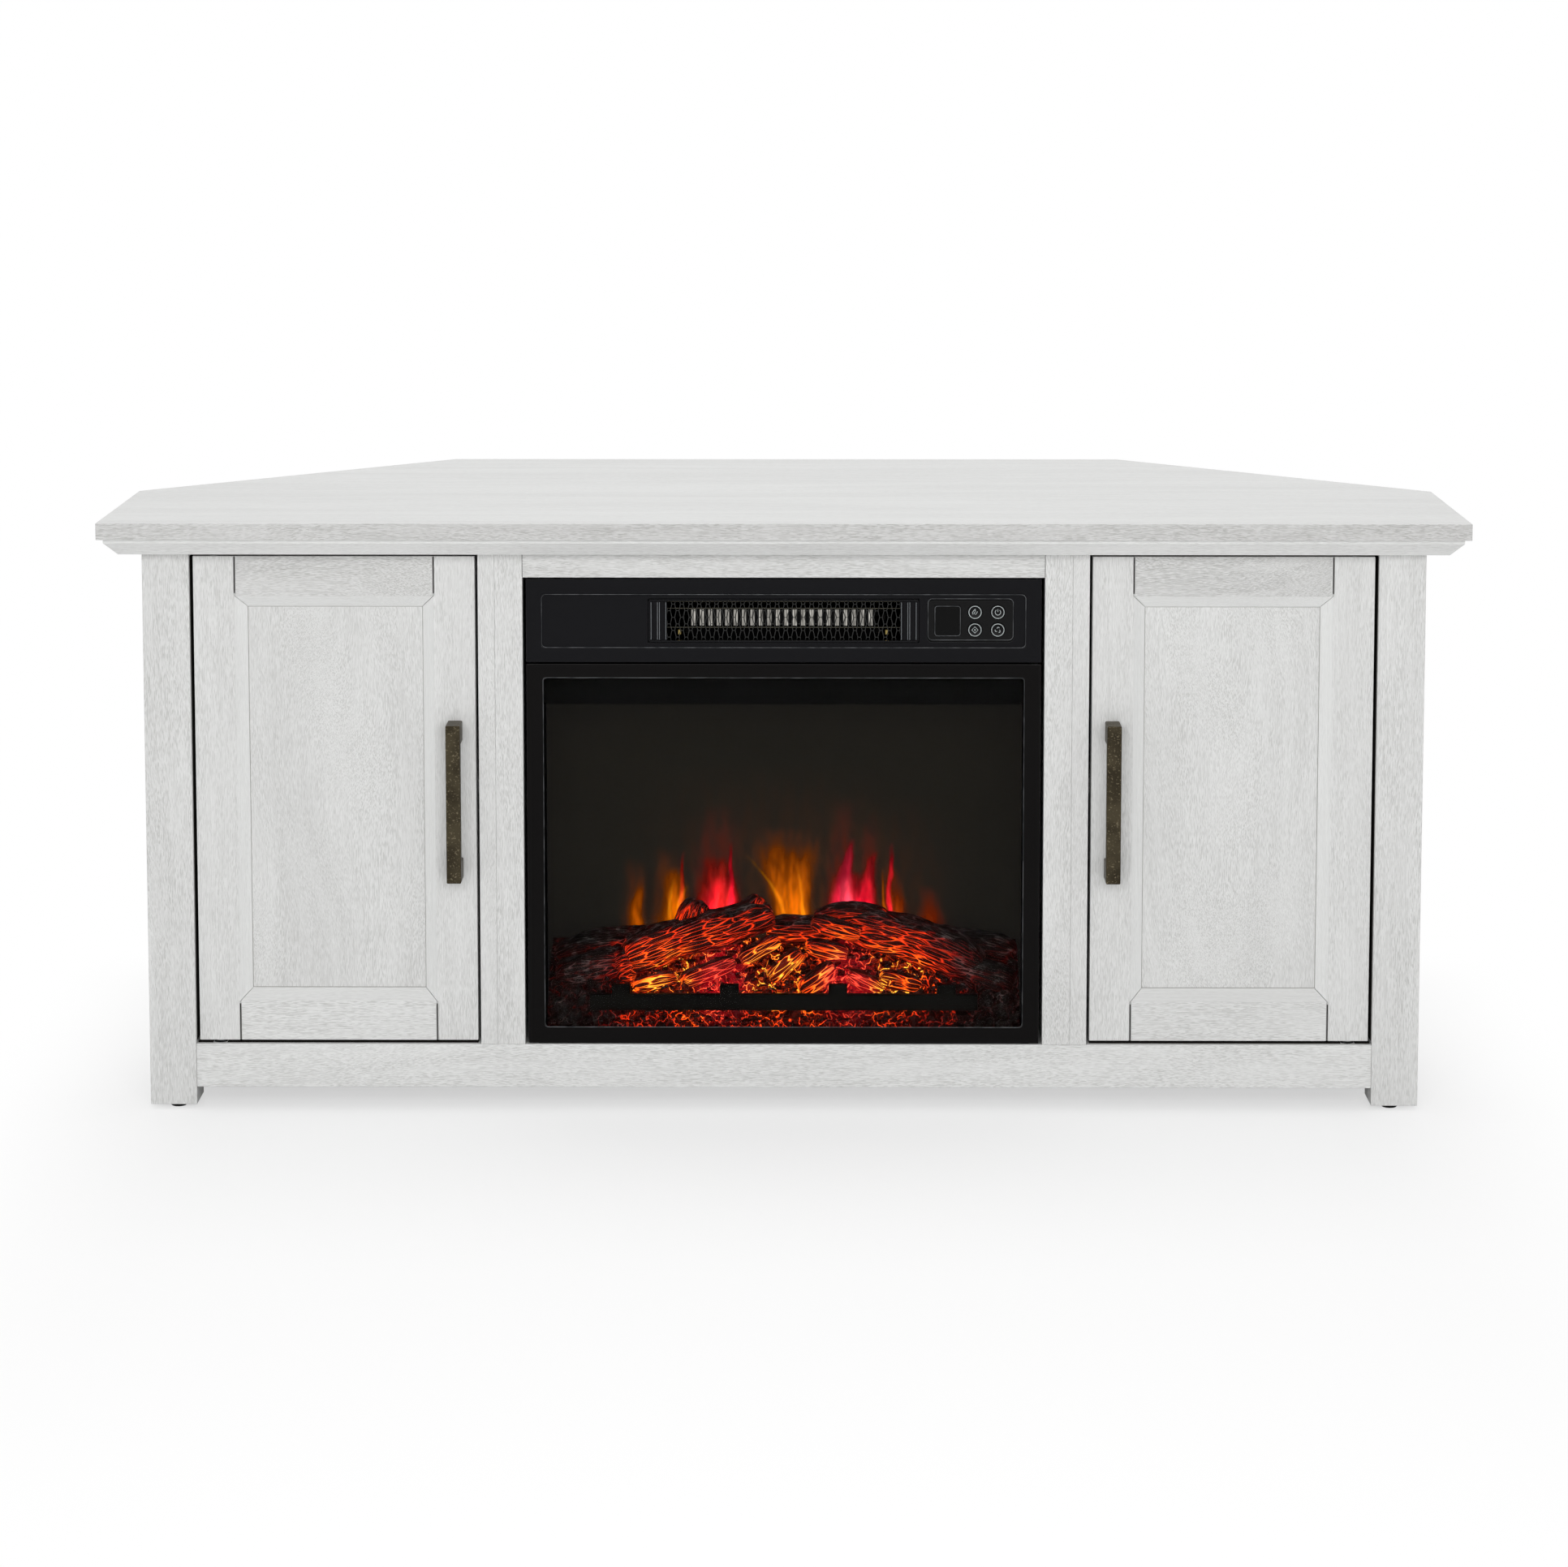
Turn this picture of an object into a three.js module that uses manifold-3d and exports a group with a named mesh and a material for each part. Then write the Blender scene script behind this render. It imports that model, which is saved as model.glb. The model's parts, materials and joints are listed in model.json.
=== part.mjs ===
// Corner fireplace stand: a cabinet with a diagonal back, two framed doors hung on pivot pins and an
// electric log fire between them. Millimetres, +Z up, the front faces -Y, the origin is on the floor
// under the middle of the top.

import * as THREE from 'three';
import { mergeVertices } from 'three/addons/utils/BufferGeometryUtils.js';
import Module from 'manifold-3d';

const wasm = await Module();
wasm.setup();

// Overall size
const standWidth = 1219;
const standDepth = 522;
const standHeight = 540;
const backEdge = 667;

// Boards and clearances
const boardThickness = 15;
const backThickness = 5;
const fitGap = 0.3;
const cutOverrun = 5;
const weld = 0.5;

// Top and the moulded board under it
const mouldingInset = 5.5;
const mouldingFillet = 3.5;

// Body under the top
const bodySideInset = 35;
const bodyFrontInset = 34.5;
const bodyBackInset = 15;
const diagonalInset = 15;
const postWidth = 42;
const sidePanelInset = 3;
const bottomRailLift = 20;
const bottomRailHeight = 40;
const bottomRailThickness = 18;
const bottomRailSetback = 1;
const topRailHeight = 23;
const shelfHeight = 223;
const shelfSetback = 42.5;
const cableHoleRadius = 26;
const cableHoleHeight = 120;

// Feet
const glideHeight = 4;
const glideRadius = 7.5;
const glideChamfer = 1;
const frontGlideSetback = 14;
const frontGlideInset = 23.5;
const rearFootLength = 42;

// Opening for the fire
const fireOpeningWidth = 468;
const fillerWidth = 25;

// Doors
const doorThickness = 18;
const doorRecess = 5;
const doorGap = 3;
const doorEndGap = 2.75;
const doorHeadGap = 4.5;
const stileWidth = 37;
const railWidth = 36;
const stickingWidth = 10.5;
const stickingDepth = 9;
const doorPanelThickness = 5;
const doorPanelSetback = 10;
const tongueLength = 6;
const jointGrooveWidth = 2.2;
const jointGrooveDepth = 2;

// Door pivots
const pivotInset = 18;
const pivotSetback = 7;
const pinRadius = 2.4;
const pinCollarRadius = 5;
const pinLength = 13;
const bushRadius = 4;
const bushFlangeRadius = 6;
const bushFlangeHeight = 1.5;
const bushDepth = 11;
const bushFloor = 1.5;

// Door handles
const handleWidth = 13;
const handleLength = 143.5;
const handleProjection = 29;
const handleBar = 9;
const handleFoot = 18.5;
const handleLift = 150.25;

// Fire: the black face
const faceSetback = 2;
const faceGap = 3;
const faceLift = 1;
const faceHeadGap = 1.5;
const faceDepth = 12;
const facePlate = 2;
const fasciaHeight = 75.5;
const seamHeight = 1.5;
const recessSideBorder = 13.5;
const recessTopBorder = 13.5;
const recessHeight = 49;
const recessDepth = 1.5;
const recessCornerRadius = 3;
const windowSideBorder = 15;
const windowBottomBorder = 14.5;
const windowTopBorder = 12.5;
const windowCornerRadius = 5;

// Fire: the outlet grille in the face
const grilleEndGap = 7.75;
const grilleHeight = 39;
const grilleFrame = 1.6;
const grilleFlange = 3;
const grillePlate = 1.5;
const finThickness = 1.6;
const finPitch = 6.6;
const finCount = 2;
const netColumns = 26;
const netRows = 4;
const netWire = 1.5;

// Fire: the control panel and its buttons
const controlWidth = 77;
const controlHeight = 37.5;
const controlCornerRadius = 5;
const controlEdgeGap = 11.5;
const controlFlange = 2.5;
const controlPlate = 2;
const controlBoxDepth = 12;
const controlBoxInset = 1;
const displayWidth = 24;
const displayHeight = 28;
const displayInset = 6;
const displayDepth = 0.8;
const buttonRadius = 6.25;
const buttonColumnPitch = 20.5;
const buttonRowPitch = 16;
const buttonEdge = 14;
const buttonProud = 1;
const buttonFlange = 1.2;
const buttonFlangeThickness = 1.2;

// Fire: the casing
const casingInset = 9;
const casingDepth = 162.5;
const casingHeadGap = 7;
const sheet = 1.5;
const deckDrop = 7;
const bayWallInset = 3;
const bayWallSetback = 6;
const hoodDrop = 34;
const hoodSetback = 18;
const glassThickness = 3;
const screenSetback = 112;
const screenThickness = 3;

// Fire: the turning parts
const earThickness = 2;
const earMargin = 10;
const spindleSetback = 140;
const spindleLift = 50;
const spindleRadius = 3;
const spindleEarInset = 24;
const flameFlapLength = 13;
const flameFlapWidth = 30;
const flameFlapThickness = 1;
const flameFlapCount = 9;
const flameFlapTurn = 70;
const motorRadius = 16;
const motorLength = 17;
const motorSocket = 6;
const rotorEndInset = 32.5;
const rotorRadius = 20;
const rotorDisc = 2;
const rotorEarGap = 6;
const rotorShaftRadius = 3;
const rotorSetback = 75;
const rotorLift = 37;
const bladeCount = 14;
const bladeWidth = 6;
const bladeThickness = 1;
const bladeTurn = 25;

// Fire: the heating ribbon
const ribbonEndInset = 8.4;
const ribbonFolds = 22;
const ribbonDepth = 14;
const ribbonHeight = 14.5;
const ribbonThickness = 0.8;
const ribbonFlatShare = 0.6;
const ribbonSetback = 22;
const ribbonSeatThickness = 2;

// Fire: the grate, and the logs on their ember bed
const grateEndInset = 39;
const grateThickness = 6;
const grateHeight = 15;
const grateLift = 29;
const grateSetback = 8.5;
const grateTabWidth = 17;
const grateTabHeight = 9;
const grateTabInset = 28.25;
const grateTabCount = 4;
const grateArm = 18;
const bedEndGap = 5.5;
const bedSetback = 15.5;
const bedBackGap = 2.5;
const logHeight = 119;
const logSides = 9;

// The ember bed's profile, from front to back, in shares of its depth and of the log height
const bedProfileShares = [[0, 0], [0, 0.13], [0.12, 0.24], [0.3, 0.42], [0.62, 0.56], [1, 0.6], [1, 0]];

// Each log runs between two points. A row holds x, y and z of the start, x, y and z of the end, then
// the radius at the start and at the end. x is a share of half the bed's width from the middle, y a
// share of the bed's depth, z and the radii are shares of the log height.
const logShares = [
  [-0.99, 0.72, 0.48, -0.02, 0.72, 0.8, 0.2, 0.17],
  [0.12, 0.74, 0.78, 0.99, 0.72, 0.52, 0.16, 0.2],
  [-0.42, 0.72, 0.78, -0.37, 0.72, 0.98, 0.1, 0.07],
  [-0.26, 0.7, 0.76, -0.08, 0.7, 0.92, 0.1, 0.08],
  [0.2, 0.74, 0.8, 0.36, 0.74, 0.84, 0.12, 0.11],
  [-0.66, 0.34, 0.34, -0.1, 0.42, 0.56, 0.13, 0.11],
  [0.06, 0.42, 0.5, 0.68, 0.34, 0.32, 0.11, 0.13],
  [-0.3, 0.22, 0.24, -0.04, 0.4, 0.46, 0.09, 0.08],
  [0.16, 0.2, 0.24, 0.36, 0.42, 0.44, 0.09, 0.08],
  [-0.94, 0.3, 0.3, -0.72, 0.56, 0.42, 0.14, 0.12],
  [0.74, 0.5, 0.4, 0.94, 0.28, 0.28, 0.12, 0.14],
];

// The cord outlet in the back of the casing
const glandRadius = 7;
const glandBore = 3.5;
const glandFlangeRadius = 11;
const glandFlangeThickness = 3;
const glandInside = 5;
const glandOutside = 16;
const glandInset = 42;

// Facets on round pieces
const roundSides = 24;
const smallRoundSides = 16;
const cornerSegments = 3;

// Lines and heights that several pieces share
const sides = [[-1, 'left'], [1, 'right']];
const halfWidth = standWidth / 2;
const topFront = -standDepth / 2;
const topBack = standDepth / 2;
const topDiagonal = backEdge / 2 + topBack;
const topUnderside = standHeight - boardThickness;
const bodyTop = topUnderside - boardThickness;
const bodyHalf = halfWidth - bodySideInset;
const bodyFront = topFront + bodyFrontInset;
const bodyBack = topBack - bodyBackInset;
const bodyDiagonal = topDiagonal - diagonalInset * Math.SQRT2;
const backInner = bodyBack - backThickness;
const boardDiagonal = bodyDiagonal - (backThickness + fitGap) * Math.SQRT2;
const postInner = bodyHalf - postWidth;
const postBack = bodyFront + postWidth;
const sideOuter = bodyHalf - sidePanelInset;
const sideInner = sideOuter - boardThickness;
const deckTop = bottomRailLift + bottomRailHeight;
const deckUnderside = deckTop - boardThickness;
const railFront = bodyFront + bottomRailSetback;
const railBack = railFront + bottomRailThickness;
const fireHalf = fireOpeningWidth / 2;
const partitionInner = fireHalf + fillerWidth;
const partitionOuter = partitionInner + boardThickness;
const openingTop = bodyTop - topRailHeight;

// Door lines, measured from the door's own bottom corner at its pivot side
const doorInner = partitionOuter + doorGap;
const doorOuter = postInner - doorGap;
const doorWidth = doorOuter - doorInner;
const doorBottom = deckTop + doorEndGap;
const doorHeight = bodyTop - doorHeadGap - doorBottom;
const doorFront = bodyFront + doorRecess;
const pivotX = doorOuter - pivotInset;
const pivotY = doorFront + pivotSetback;

// Finishes
const finishes = {
  oak: { color: 0xd5d4d1, roughness: 0.55, metalness: 0 },
  backing: { color: 0xcfcdc8, roughness: 0.7, metalness: 0 },
  bronze: { color: 0x484234, roughness: 0.42, metalness: 0.85 },
  blackPlastic: { color: 0x141414, roughness: 0.5, metalness: 0 },
  blackSteel: { color: 0x171718, roughness: 0.45, metalness: 0.35 },
  bareSteel: { color: 0xb9bbbd, roughness: 0.35, metalness: 0.9 },
  glass: { color: 0x10100f, roughness: 0.05, metalness: 0, transparent: true, opacity: 0.15 },
  screen: { color: 0x1e1d19, roughness: 0.2, metalness: 0 },
  ember: { color: 0x5a2312, roughness: 0.85, metalness: 0 },
  heater: { color: 0xc9c3b2, roughness: 0.4, metalness: 0.8 },
};

// A three.js geometry as a solid that can be joined and cut
function toSolid(geometry) {
  geometry.deleteAttribute('normal');
  geometry.deleteAttribute('uv');
  const merged = mergeVertices(geometry);
  const corners = merged.index.array;
  const kept = [];
  for (let i = 0; i < corners.length; i += 3) {
    const [a, b, c] = corners.subarray(i, i + 3);
    if (a !== b && b !== c && c !== a) kept.push(a, b, c);
  }
  const vertProperties = Float32Array.from(merged.attributes.position.array);
  return new wasm.Manifold(new wasm.Mesh({ numProp: 3, vertProperties, triVerts: Uint32Array.from(kept) }));
}

function toGeometry(solid) {
  const mesh = solid.getMesh();
  const geometry = new THREE.BufferGeometry();
  geometry.setAttribute('position', new THREE.BufferAttribute(mesh.vertProperties, mesh.numProp));
  geometry.setIndex(new THREE.BufferAttribute(mesh.triVerts, 1));
  geometry.computeVertexNormals();
  return geometry;
}

// One named mesh in a group
function add(group, name, solid, finish) {
  const material = new THREE.MeshStandardMaterial({ ...finishes[finish], flatShading: true });
  const mesh = new THREE.Mesh(toGeometry(solid), material);
  mesh.name = name;
  group.add(mesh);
  return mesh;
}

// A block between a low and a high value on each axis
function block(x, y, z) {
  const geometry = new THREE.BoxGeometry(1, 1, 1);
  const corners = geometry.attributes.position;
  const pick = (range, value) => range[value < 0 ? 0 : 1];
  for (let i = 0; i < corners.count; i++) {
    corners.setXYZ(i, pick(x, corners.getX(i)), pick(y, corners.getY(i)), pick(z, corners.getZ(i)));
  }
  return toSolid(geometry);
}

// An outline extruded along one axis. It is drawn as x and y for axis z, as y and z for axis x, and
// as x and z for axis y.
function prism(shape, axis, range) {
  const outline = Array.isArray(shape) ? new THREE.Shape(shape.map((p) => new THREE.Vector2(...p))) : shape;
  const options = { depth: 1, bevelEnabled: false, curveSegments: cornerSegments };
  const geometry = new THREE.ExtrudeGeometry(outline, options);
  const corners = geometry.attributes.position;
  for (let i = 0; i < corners.count; i++) {
    const [u, v, w] = [corners.getX(i), corners.getY(i), Math.round(corners.getZ(i))];
    if (axis === 'z') corners.setXYZ(i, u, v, range[w]);
    if (axis === 'x') corners.setXYZ(i, range[w], u, v);
    if (axis === 'y') corners.setXYZ(i, u, range[1 - w], v);
  }
  return toSolid(geometry);
}

// A turned piece. The profile holds radius and height pairs from the lower end up, and the axis is z,
// x or y, with the height measured along it.
function turned(profile, axis, segments = roundSides) {
  const points = profile.map(([radius, height]) => new THREE.Vector2(radius, height));
  const geometry = new THREE.LatheGeometry(points, segments);
  const corners = geometry.attributes.position;
  for (let i = 0; i < corners.count; i++) {
    const [u, height, v] = [corners.getX(i), corners.getY(i), corners.getZ(i)];
    if (axis === 'z') corners.setXYZ(i, v, u, height);
    if (axis === 'x') corners.setXYZ(i, height, v, u);
    if (axis === 'y') corners.setXYZ(i, u, height, v);
  }
  return toSolid(geometry);
}

// A plain rod between two heights on an axis, around a centre given in the other two directions
function rod(radius, range, axis, centre = [0, 0], segments = smallRoundSides) {
  const points = [];
  for (let i = 0; i < segments; i++) {
    const angle = (2 * Math.PI * i) / segments;
    points.push([centre[0] + radius * Math.cos(angle), centre[1] + radius * Math.sin(angle)]);
  }
  return prism(points, axis, range);
}

function roundedRectangle([left, right], [low, high], radius) {
  const shape = new THREE.Shape();
  shape.moveTo(left + radius, low);
  shape.lineTo(right - radius, low);
  shape.absarc(right - radius, low + radius, radius, -Math.PI / 2, 0, false);
  shape.lineTo(right, high - radius);
  shape.absarc(right - radius, high - radius, radius, 0, Math.PI / 2, false);
  shape.lineTo(left + radius, high);
  shape.absarc(left + radius, high - radius, radius, Math.PI / 2, Math.PI, false);
  shape.lineTo(left, low + radius);
  shape.absarc(left + radius, low + radius, radius, Math.PI, 1.5 * Math.PI, false);
  return shape;
}

// A range or an outline on the left or the right side
const mirrored = (side, [low, high]) => (side > 0 ? [low, high] : [-high, -low]);
const mirroredPoints = (side, points) => points.map(([x, other]) => [side * x, other]);
const grown = ([low, high], by) => [low - by, high + by];
const around = (centre, size) => [centre - size / 2, centre + size / 2];

// The plan of a corner board: straight front and sides, then diagonals to a straight back
function cornerPlan(half, front, diagonal, back) {
  const right = [[half, front], [half, diagonal - half], [diagonal - back, back]];
  return [...right, ...mirroredPoints(-1, right).reverse()];
}

const stand = new THREE.Group();
const cabinet = new THREE.Group();
stand.add(cabinet);

// Top
function makeTop() {
  const plan = cornerPlan(halfWidth, topFront, topDiagonal, topBack);
  add(cabinet, 'top_panel', prism(plan, 'z', [topUnderside, standHeight]), 'oak');
}

// The board under the top has a square fillet and a bevel along its front and sides
function makeSubTop() {
  const half = halfWidth - mouldingInset;
  const front = topFront + mouldingInset;
  const diagonal = topDiagonal - mouldingInset * Math.SQRT2;
  const bevel = boardThickness - mouldingFillet;
  const low = bodyTop - cutOverrun;
  const reach = bevel + cutOverrun;
  let board = prism(cornerPlan(half, front, diagonal, topBack - mouldingInset), 'z', [bodyTop, topUnderside]);
  const frontCut = [[front - weld, bodyTop + bevel + weld], [front - weld, low], [front + reach, low]];
  board = board.subtract(prism(frontCut, 'x', [-halfWidth, halfWidth]));
  for (const [side] of sides) {
    const sideCut = [[half + weld, bodyTop + bevel + weld], [half + weld, low], [half - reach, low]];
    board = board.subtract(prism(mirroredPoints(side, sideCut), 'y', [topFront, topBack]));
    const seat = [bodyTop - cutOverrun, bodyTop + bushDepth + fitGap];
    board = board.subtract(rod(bushRadius + fitGap, seat, 'z', [side * pivotX, pivotY]));
  }
  add(cabinet, 'sub_top_board', board, 'oak');
}

function makePosts() {
  for (const [side, word] of sides) {
    const post = block(mirrored(side, [postInner, bodyHalf]), [bodyFront, postBack], [glideHeight, bodyTop]);
    add(cabinet, `front_post_${word}`, post, 'oak');
  }
}

function makeSidePanels() {
  for (const [side, word] of sides) {
    const plan = [
      [sideOuter, postBack],
      [sideOuter, boardDiagonal - sideOuter],
      [sideInner, boardDiagonal - sideInner],
      [sideInner, postBack],
    ];
    const panel = prism(mirroredPoints(side, plan), 'z', [bottomRailLift, bodyTop]);
    add(cabinet, `side_panel_${word}`, panel, 'oak');
  }
}

// The bottom is notched round the posts and for the rear feet, which are part of the partitions
function makeBottom() {
  const footFront = backInner - rearFootLength;
  const right = [
    [postInner, railBack],
    [postInner, postBack],
    [sideInner, postBack],
    [sideInner, boardDiagonal - sideInner],
    [boardDiagonal - backInner, backInner],
    [partitionOuter, backInner],
    [partitionOuter, footFront],
    [partitionInner, footFront],
    [partitionInner, backInner],
  ];
  const plan = [...right, ...mirroredPoints(-1, right).reverse()];
  add(cabinet, 'bottom_panel', prism(plan, 'z', [deckUnderside, deckTop]), 'oak');
}

function makePartitions() {
  const footFront = backInner - rearFootLength;
  const outline = [
    [bodyFront, deckTop],
    [footFront, deckTop],
    [footFront, glideHeight],
    [backInner, glideHeight],
    [backInner, bodyTop],
    [bodyFront, bodyTop],
  ];
  for (const [side, word] of sides) {
    const across = mirrored(side, [partitionInner, partitionOuter]);
    add(cabinet, `partition_${word}`, prism(outline, 'x', across), 'oak');
  }
}

function makeFrontFrame() {
  const frame = [bodyFront, bodyFront + boardThickness];
  for (const [side, word] of sides) {
    const stile = block(mirrored(side, [fireHalf, partitionInner]), frame, [deckTop, bodyTop]);
    add(cabinet, `filler_stile_${word}`, stile, 'oak');
  }
  add(cabinet, 'top_rail', block([-fireHalf, fireHalf], frame, [openingTop, bodyTop]), 'oak');
  let rail = block([-postInner, postInner], [railFront, railBack], [bottomRailLift, deckTop]);
  for (const [side] of sides) {
    const seat = [deckTop - bushDepth - fitGap, deckTop + cutOverrun];
    rail = rail.subtract(rod(bushRadius + fitGap, seat, 'z', [side * pivotX, pivotY]));
  }
  add(cabinet, 'bottom_rail', rail, 'oak');
}

// Thin back panels, each with a round cut-out for cables
function makeBacks() {
  const heights = [deckUnderside, bodyTop];
  const innerDiagonal = bodyDiagonal - backThickness * Math.SQRT2;
  const cornerInner = innerDiagonal - backInner;
  const cornerOuter = bodyDiagonal - bodyBack;
  const holeHeight = deckTop + cableHoleHeight;
  const holeDepth = [backInner - cutOverrun, bodyBack + cutOverrun];
  const centrePlan = [
    [cornerInner - fitGap, backInner],
    [cornerOuter - fitGap, bodyBack],
    [fitGap - cornerOuter, bodyBack],
    [fitGap - cornerInner, backInner],
  ];
  const centre = prism(centrePlan, 'z', heights);
  const hole = rod(cableHoleRadius, holeDepth, 'y', [0, holeHeight], roundSides);
  add(cabinet, 'back_panel_centre', centre.subtract(hole), 'backing');
  for (const [side, word] of sides) {
    const plan = [
      [sideOuter, bodyDiagonal - sideOuter],
      [sideOuter, innerDiagonal - sideOuter],
      [cornerInner, backInner],
      [cornerOuter, bodyBack],
    ];
    const panel = prism(mirroredPoints(side, plan), 'z', heights);
    const middle = (sideOuter + cornerOuter) / 2;
    const reach = [bodyDiagonal - middle - cableHoleRadius - cutOverrun * 2, bodyBack];
    const slot = rod(cableHoleRadius, reach, 'y', [side * middle, holeHeight], roundSides);
    add(cabinet, `back_panel_${word}`, panel.subtract(slot), 'backing');
  }
}

// One fixed shelf in each side compartment
function makeShelves() {
  const low = deckTop + shelfHeight;
  const front = bodyFront + shelfSetback;
  const back = backInner - fitGap;
  for (const [side, word] of sides) {
    const plan = [
      [partitionOuter + fitGap, front],
      [sideInner - fitGap, front],
      [sideInner - fitGap, boardDiagonal - sideInner],
      [boardDiagonal - backInner, back],
      [partitionOuter + fitGap, back],
    ];
    add(cabinet, `shelf_${word}`, prism(mirroredPoints(side, plan), 'z', [low, low + boardThickness]), 'oak');
  }
}

// Round plastic glides under the posts and the rear feet
function makeGlides() {
  const profile = [
    [0, 0],
    [glideRadius - glideChamfer, 0],
    [glideRadius, glideChamfer],
    [glideRadius, glideHeight],
    [0, glideHeight],
  ];
  const frontPlace = [bodyHalf - frontGlideInset, bodyFront + frontGlideSetback];
  const rearPlace = [(partitionInner + partitionOuter) / 2, backInner - rearFootLength / 2];
  for (const [side, word] of sides) {
    for (const [[x, y], end] of [[frontPlace, 'front'], [rearPlace, 'rear']]) {
      const glide = add(cabinet, `foot_glide_${end}_${word}`, turned(profile, 'z'), 'blackPlastic');
      glide.position.set(side * x, y, 0);
    }
  }
}

// Flanged bushes in the bottom rail and in the board under the top. The pins turn in them.
function makeBushes() {
  const bore = pinRadius + fitGap;
  for (const [side, word] of sides) {
    for (const [up, height, end] of [[1, deckTop, 'lower'], [-1, bodyTop, 'upper']]) {
      const profile = [
        [0, -bushDepth],
        [bushRadius, -bushDepth],
        [bushRadius, 0],
        [bushFlangeRadius, 0],
        [bushFlangeRadius, bushFlangeHeight],
        [bore, bushFlangeHeight],
        [bore, bushFloor - bushDepth],
        [0, bushFloor - bushDepth],
      ].map(([radius, z]) => [radius, up * z]);
      const ring = turned(up > 0 ? profile : profile.reverse(), 'z', smallRoundSides);
      const bush = add(cabinet, `pivot_bush_${end}_${word}`, ring, 'blackPlastic');
      bush.position.set(side * pivotX, pivotY, height);
    }
  }
}

// A door. Its group stands at the pivot line on the door's bottom edge, and across is measured from
// there towards the handle.
function makeDoor(side, word) {
  const door = new THREE.Group();
  door.position.set(side * pivotX, pivotY, doorBottom);
  stand.add(door);

  const hingeEdge = -pivotInset;
  const latchEdge = doorWidth - pivotInset;
  const front = -pivotSetback;
  const back = front + doorThickness;
  const depth = [front, back];
  const facing = (range) => mirrored(-side, range);
  const facingPoints = (points) => mirroredPoints(-side, points);

  // The opening that the frame leaves, at the face and at the foot of its moulded edge
  const faceSides = [hingeEdge + stileWidth, latchEdge - stileWidth];
  const faceEnds = [railWidth, doorHeight - railWidth];
  const sightSides = grown(faceSides, -stickingWidth);
  const sightEnds = grown(faceEnds, -stickingWidth);

  const sight = block(facing(sightSides), grown(depth, cutOverrun), sightEnds);
  const sticking = mouldedOpening(facing(faceSides), faceEnds, front);
  const grooveDepth = [front + doorPanelSetback, front + doorPanelSetback + doorPanelThickness + fitGap];
  const grooveReach = tongueLength + fitGap;
  const groove = block(facing(grown(sightSides, grooveReach)), grooveDepth, grown(sightEnds, grooveReach));
  const shape = (outline) => prism(facingPoints(outline), 'y', depth).subtract(sight).subtract(sticking);

  // A shallow V along each line where a stile meets a rail
  const grooves = faceSides.map((x) => {
    const section = [
      [x - jointGrooveWidth, front - jointGrooveDepth],
      [x + jointGrooveWidth, front - jointGrooveDepth],
      [x, front + jointGrooveDepth],
    ];
    const whole = prism(facingPoints(section), 'z', [-cutOverrun, doorHeight + cutOverrun]);
    return whole.subtract(block(facing([hingeEdge, latchEdge]), grown(depth, cutOverrun), faceEnds));
  });
  const cutGrooves = (solid) => grooves.reduce((left, cut) => left.subtract(cut), solid);

  const stiles = [
    ['hinge', hingeEdge, faceSides[0], sightSides[0]],
    ['latch', latchEdge, faceSides[1], sightSides[1]],
  ];
  for (const [place, edge, face, inner] of stiles) {
    const outline = [
      [edge, 0],
      [face, 0],
      [face, faceEnds[0]],
      [inner, sightEnds[0]],
      [inner, sightEnds[1]],
      [face, faceEnds[1]],
      [face, doorHeight],
      [edge, doorHeight],
    ];
    let stile = cutGrooves(shape(outline).subtract(groove));
    if (place === 'hinge') {
      const hole = pinLength + fitGap;
      for (const reach of [[-cutOverrun, hole], [doorHeight - hole, doorHeight + cutOverrun]]) {
        stile = stile.subtract(rod(pinRadius + fitGap, reach, 'z'));
      }
    }
    add(door, `door_${word}_${place}_stile`, stile, 'oak');
  }

  // The rails stop a little short of the mitres on the moulded edge
  const mitre = fitGap * Math.SQRT2;
  const rails = [['bottom', 0, faceEnds[0], sightEnds[0]], ['top', doorHeight, faceEnds[1], sightEnds[1]]];
  for (const [place, edge, face, inner] of rails) {
    const outline = [
      [faceSides[0], edge],
      [faceSides[0], face],
      [faceSides[0] + mitre, face],
      [sightSides[0] + mitre, inner],
      [sightSides[1] - mitre, inner],
      [faceSides[1] - mitre, face],
      [faceSides[1], face],
      [faceSides[1], edge],
    ];
    add(door, `door_${word}_${place}_rail`, cutGrooves(shape(outline).subtract(groove)), 'oak');
  }

  const panelDepth = [grooveDepth[0], grooveDepth[0] + doorPanelThickness];
  const panel = block(facing(grown(sightSides, tongueLength)), panelDepth, grown(sightEnds, tongueLength));
  add(door, `door_${word}_panel`, panel, 'oak');

  makeHandle(door, word, facing(around(latchEdge - stileWidth / 2, handleWidth)), front);
  makePins(door, word);
}

// The hollow that a bevelled edge leaves round a door panel, wide at the face and narrow behind
function mouldedOpening(across, heights, front) {
  const reach = cutOverrun / stickingDepth;
  const wide = stickingWidth * reach;
  const geometry = new THREE.BoxGeometry(1, 1, 1);
  const corners = geometry.attributes.position;
  for (let i = 0; i < corners.count; i++) {
    const atFront = corners.getY(i) < 0;
    const shift = atFront ? -wide : stickingWidth;
    const x = corners.getX(i) < 0 ? across[0] + shift : across[1] - shift;
    const z = corners.getZ(i) < 0 ? heights[0] + shift : heights[1] - shift;
    corners.setXYZ(i, x, atFront ? front - cutOverrun : front + stickingDepth, z);
  }
  return toSolid(geometry);
}

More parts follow.
